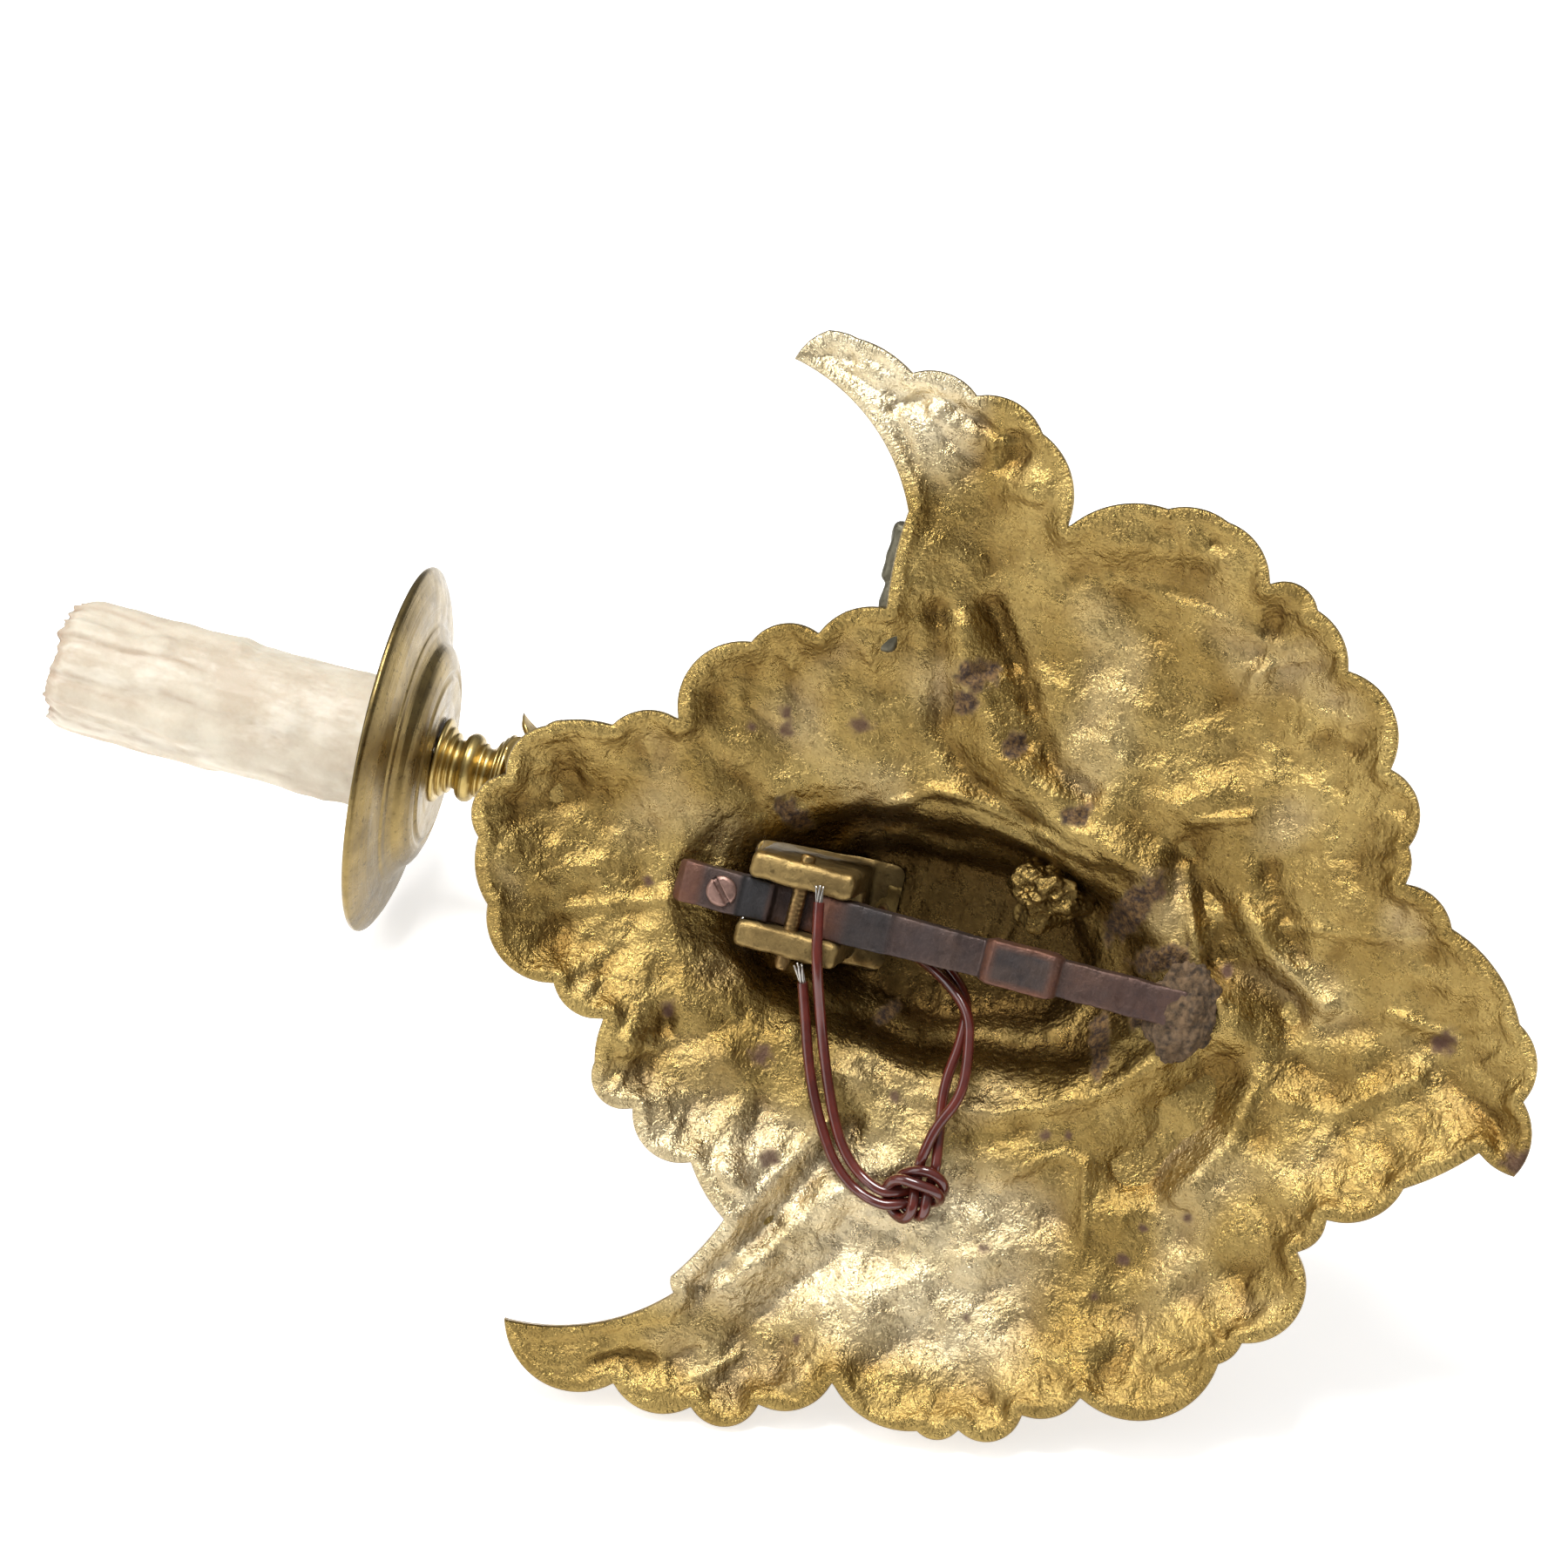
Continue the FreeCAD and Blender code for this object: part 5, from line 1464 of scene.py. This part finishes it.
# ---------------------------------------------------------------- stem, pan and candle
def make_stem():
    """Turned rings, a ball and a ringed flare that meets the leaf cup."""
    outside = [
        (2.6, 69.8), (6.0, 69.8), (7.6, 69.9), (8.2, 70.4), (8.1, 70.9), (7.5, 71.1), (7.5, 71.5),
        (7.0, 71.8), (6.5, 72.0), (6.5, 72.4), (5.9, 72.7), (5.3, 72.9), (4.7, 73.5), (4.5, 74.1),
        (4.7, 74.6), (5.3, 74.9), (5.3, 75.3), (5.0, 75.5), (5.9, 75.8), (6.5, 76.5), (6.7, 77.3),
        (6.5, 78.1), (5.9, 78.8), (4.9, 79.2), (4.7, 79.8), (4.8, 80.3), (5.6, 80.4), (6.0, 80.8),
        (5.7, 81.2), (6.5, 81.5), (6.9, 81.9), (6.6, 82.3), (7.4, 82.4), (8.1, 82.7), (8.2, 83.2),
        (8.0, 83.5), (4.1, 83.5), (4.1, 78.5), (2.6, 78.5),
    ]
    piece = lathe("stem_turning", rounded(outside, 0.22), 112)
    dress(piece, TURNED, stands_for=["turned_stem"])


def make_pan():
    """A spun saucer with ogee steps, a groove and a turned-over rim."""
    under = [
        (4.2, 83.6), (10.5, 83.6), (11.2, 83.75), (15.3, 83.6), (15.9, 84.0), (16.5, 84.25),
        (17.2, 83.95), (18.6, 84.3), (20.2, 85.0), (21.2, 85.7), (22.0, 86.9), (23.4, 87.7),
        (24.6, 87.95), (25.2, 88.4), (27.6, 88.7), (30.3, 89.2), (32.6, 90.0), (34.4, 90.9),
        (35.1, 91.35), (35.4, 91.8), (35.35, 92.3), (35.1, 92.6), (34.6, 92.4),
    ]
    upper = [(radius - 0.25, z + 1.15) for radius, z in reversed(under[3:-4])] + [(12, 84.9), (4.2, 84.85)]
    piece = lathe("spun_pan", rounded(under + upper, 0.3), 160, wobble=0.05, tilt=2.4)
    dress(piece, SPUN, stands_for=["drip_pan"])


def make_candle():
    """The wax-look sleeve: a hollow tube with runs of drips and a broken-looking top."""
    turns = 220
    rows = 150
    low, high = 84.95, 159.4
    foot_radius = 12.75
    bore = 10.95
    drips = [
        # where it lies round the candle, width, where it ends, how thick
        (2.95, 0.24, 122, 0.9), (2.30, 0.17, 136, 1.0), (1.75, 0.26, 108, 0.7), (1.10, 0.19, 128, 1.0),
        (0.45, 0.22, 100, 0.7), (-0.25, 0.24, 124, 0.9), (-1.0, 0.20, 113, 0.8), (-1.75, 0.24, 131, 0.9),
        (-2.45, 0.22, 104, 0.7),
    ]
    round_steps = np.arange(turns) * 2 * math.pi / turns
    angle, share = np.meshgrid(round_steps, np.arange(rows) / (rows - 1), indexing="ij")
    ragged = []
    for turn in angle[:, 0]:
        around = Vector((math.cos(turn), math.sin(turn), 0))
        ragged.append(layered(around, (2.6, 2.2), (7, 1.1), (20, 0.2)))
    top = high - 1.9 + np.minimum(1.9, np.array(ragged)[:, None] + 0.3)
    z = low + (top - low) * share
    lift = np.zeros(z.shape)
    edge = np.zeros(z.shape)
    for place, width, end, thick in drips:
        wander = place + 0.07 * np.sin(z / 9 + 3 * place) + 0.03 * np.sin(z / 3.1 + place)
        off = (angle - wander + math.pi) % (2 * math.pi) - math.pi
        along = fade(end - 1.5, end + 3.5, z)
        bulb = 1 + 0.4 * np.exp(-((z - end - 2.5) / 2.5) ** 2)
        lift = np.maximum(lift, thick * along * np.exp(-(off / (width * bulb)) ** 4))
        edge = np.maximum(edge, along * np.exp(-((np.abs(off) - width * 1.05) / 0.045) ** 2))
    uneven = np.zeros(z.shape)
    for index in np.ndindex(z.shape):
        around = Vector((math.cos(angle[index]), math.sin(angle[index]), 0))
        for often, upright, height in ((3.5, 8, 0.30), (9, 5, 0.15), (24, 2, 0.07)):
            uneven[index] += height * noise.noise(around * often + Vector((0, 0, z[index] / upright)))
    lift = lift + uneven - 1.2 * fade(0.955, 1.0, share)
    radius = foot_radius - 0.5 * share + lift
    # Painted shade: darker along the edges of the drips, round the top of the sleeve and, set below, inside
    # the bore.
    crease = np.minimum(1, 0.55 * edge * fade(-0.12, 0.12, uneven) + 0.6 * fade(0.975, 0.99, share))
    inside = np.full((turns, 3), bore)
    heights = np.stack([top[:, 0] - 0.3, np.full(turns, 120.0), np.full(turns, low)], 1)
    radius = np.concatenate([radius, inside], 1)
    z = np.concatenate([z, heights], 1)
    crease = np.concatenate([crease, np.full((turns, 3), 0.3)], 1)
    angle = np.concatenate([angle, angle[:, :3]], 1)
    points = np.stack([radius * np.cos(angle), CANDLE_Y + radius * np.sin(angle), z], 2).reshape(-1, 3)
    piece = outward(new_piece("drip_sleeve", points, turned_faces(turns, rows + 3)))
    give_values(piece, "crease", crease.ravel())
    dress(piece, RESIN, body="sleeve", stands_for=["candle_sleeve"])


def make_show_side_scrolls():
    """Two scrolls of the front relief that reach past the plate's edge beside the -X horn."""
    shapes = [
        box_points((-68.0, -9.0, -7.0), (-57.5, -3.2, -0.4), 1.3, 0.8),
        box_points((-57.5, -8.5, -7.0), (-52.5, -2.8, -1.2), 1.2, 0.8),
        box_points((-51.4, -8.0, -6.0), (-46.0, -3.2, 4.4), 1.4, 0.8),
    ]
    piece = joined("front_scrolls", shapes)
    recast(piece, 0.5, 3)
    roughen(piece, (3.0, 0.35), (1.2, 0.12))
    dress(piece, SHOW_SIDE, stands_for=["backplate"])


make_show_side_scrolls()
make_bar()
make_screw()
make_filler()
make_pin()
make_arm()
make_leaf_cup()
make_stem()
make_pan()
make_candle()

# ---------------------------------------------------------------- hidden parts keep their CAD shapes
INNER = {
    "threaded_nipple": STEEL, "lock_nut": TURNED, "lampholder_cap": IVORY, "lampholder_body": IVORY,
    "lampholder_shell": CONTACT, "centre_contact": CONTACT, "terminal_screws": STEEL,
    "wire_a_inside": INSULATION, "wire_b_inside": INSULATION,
}
for node_name, material in INNER.items():
    holder = frame["nodes"][node_name]
    holder.data.materials.clear()
    holder.data.materials.append(material)

table()
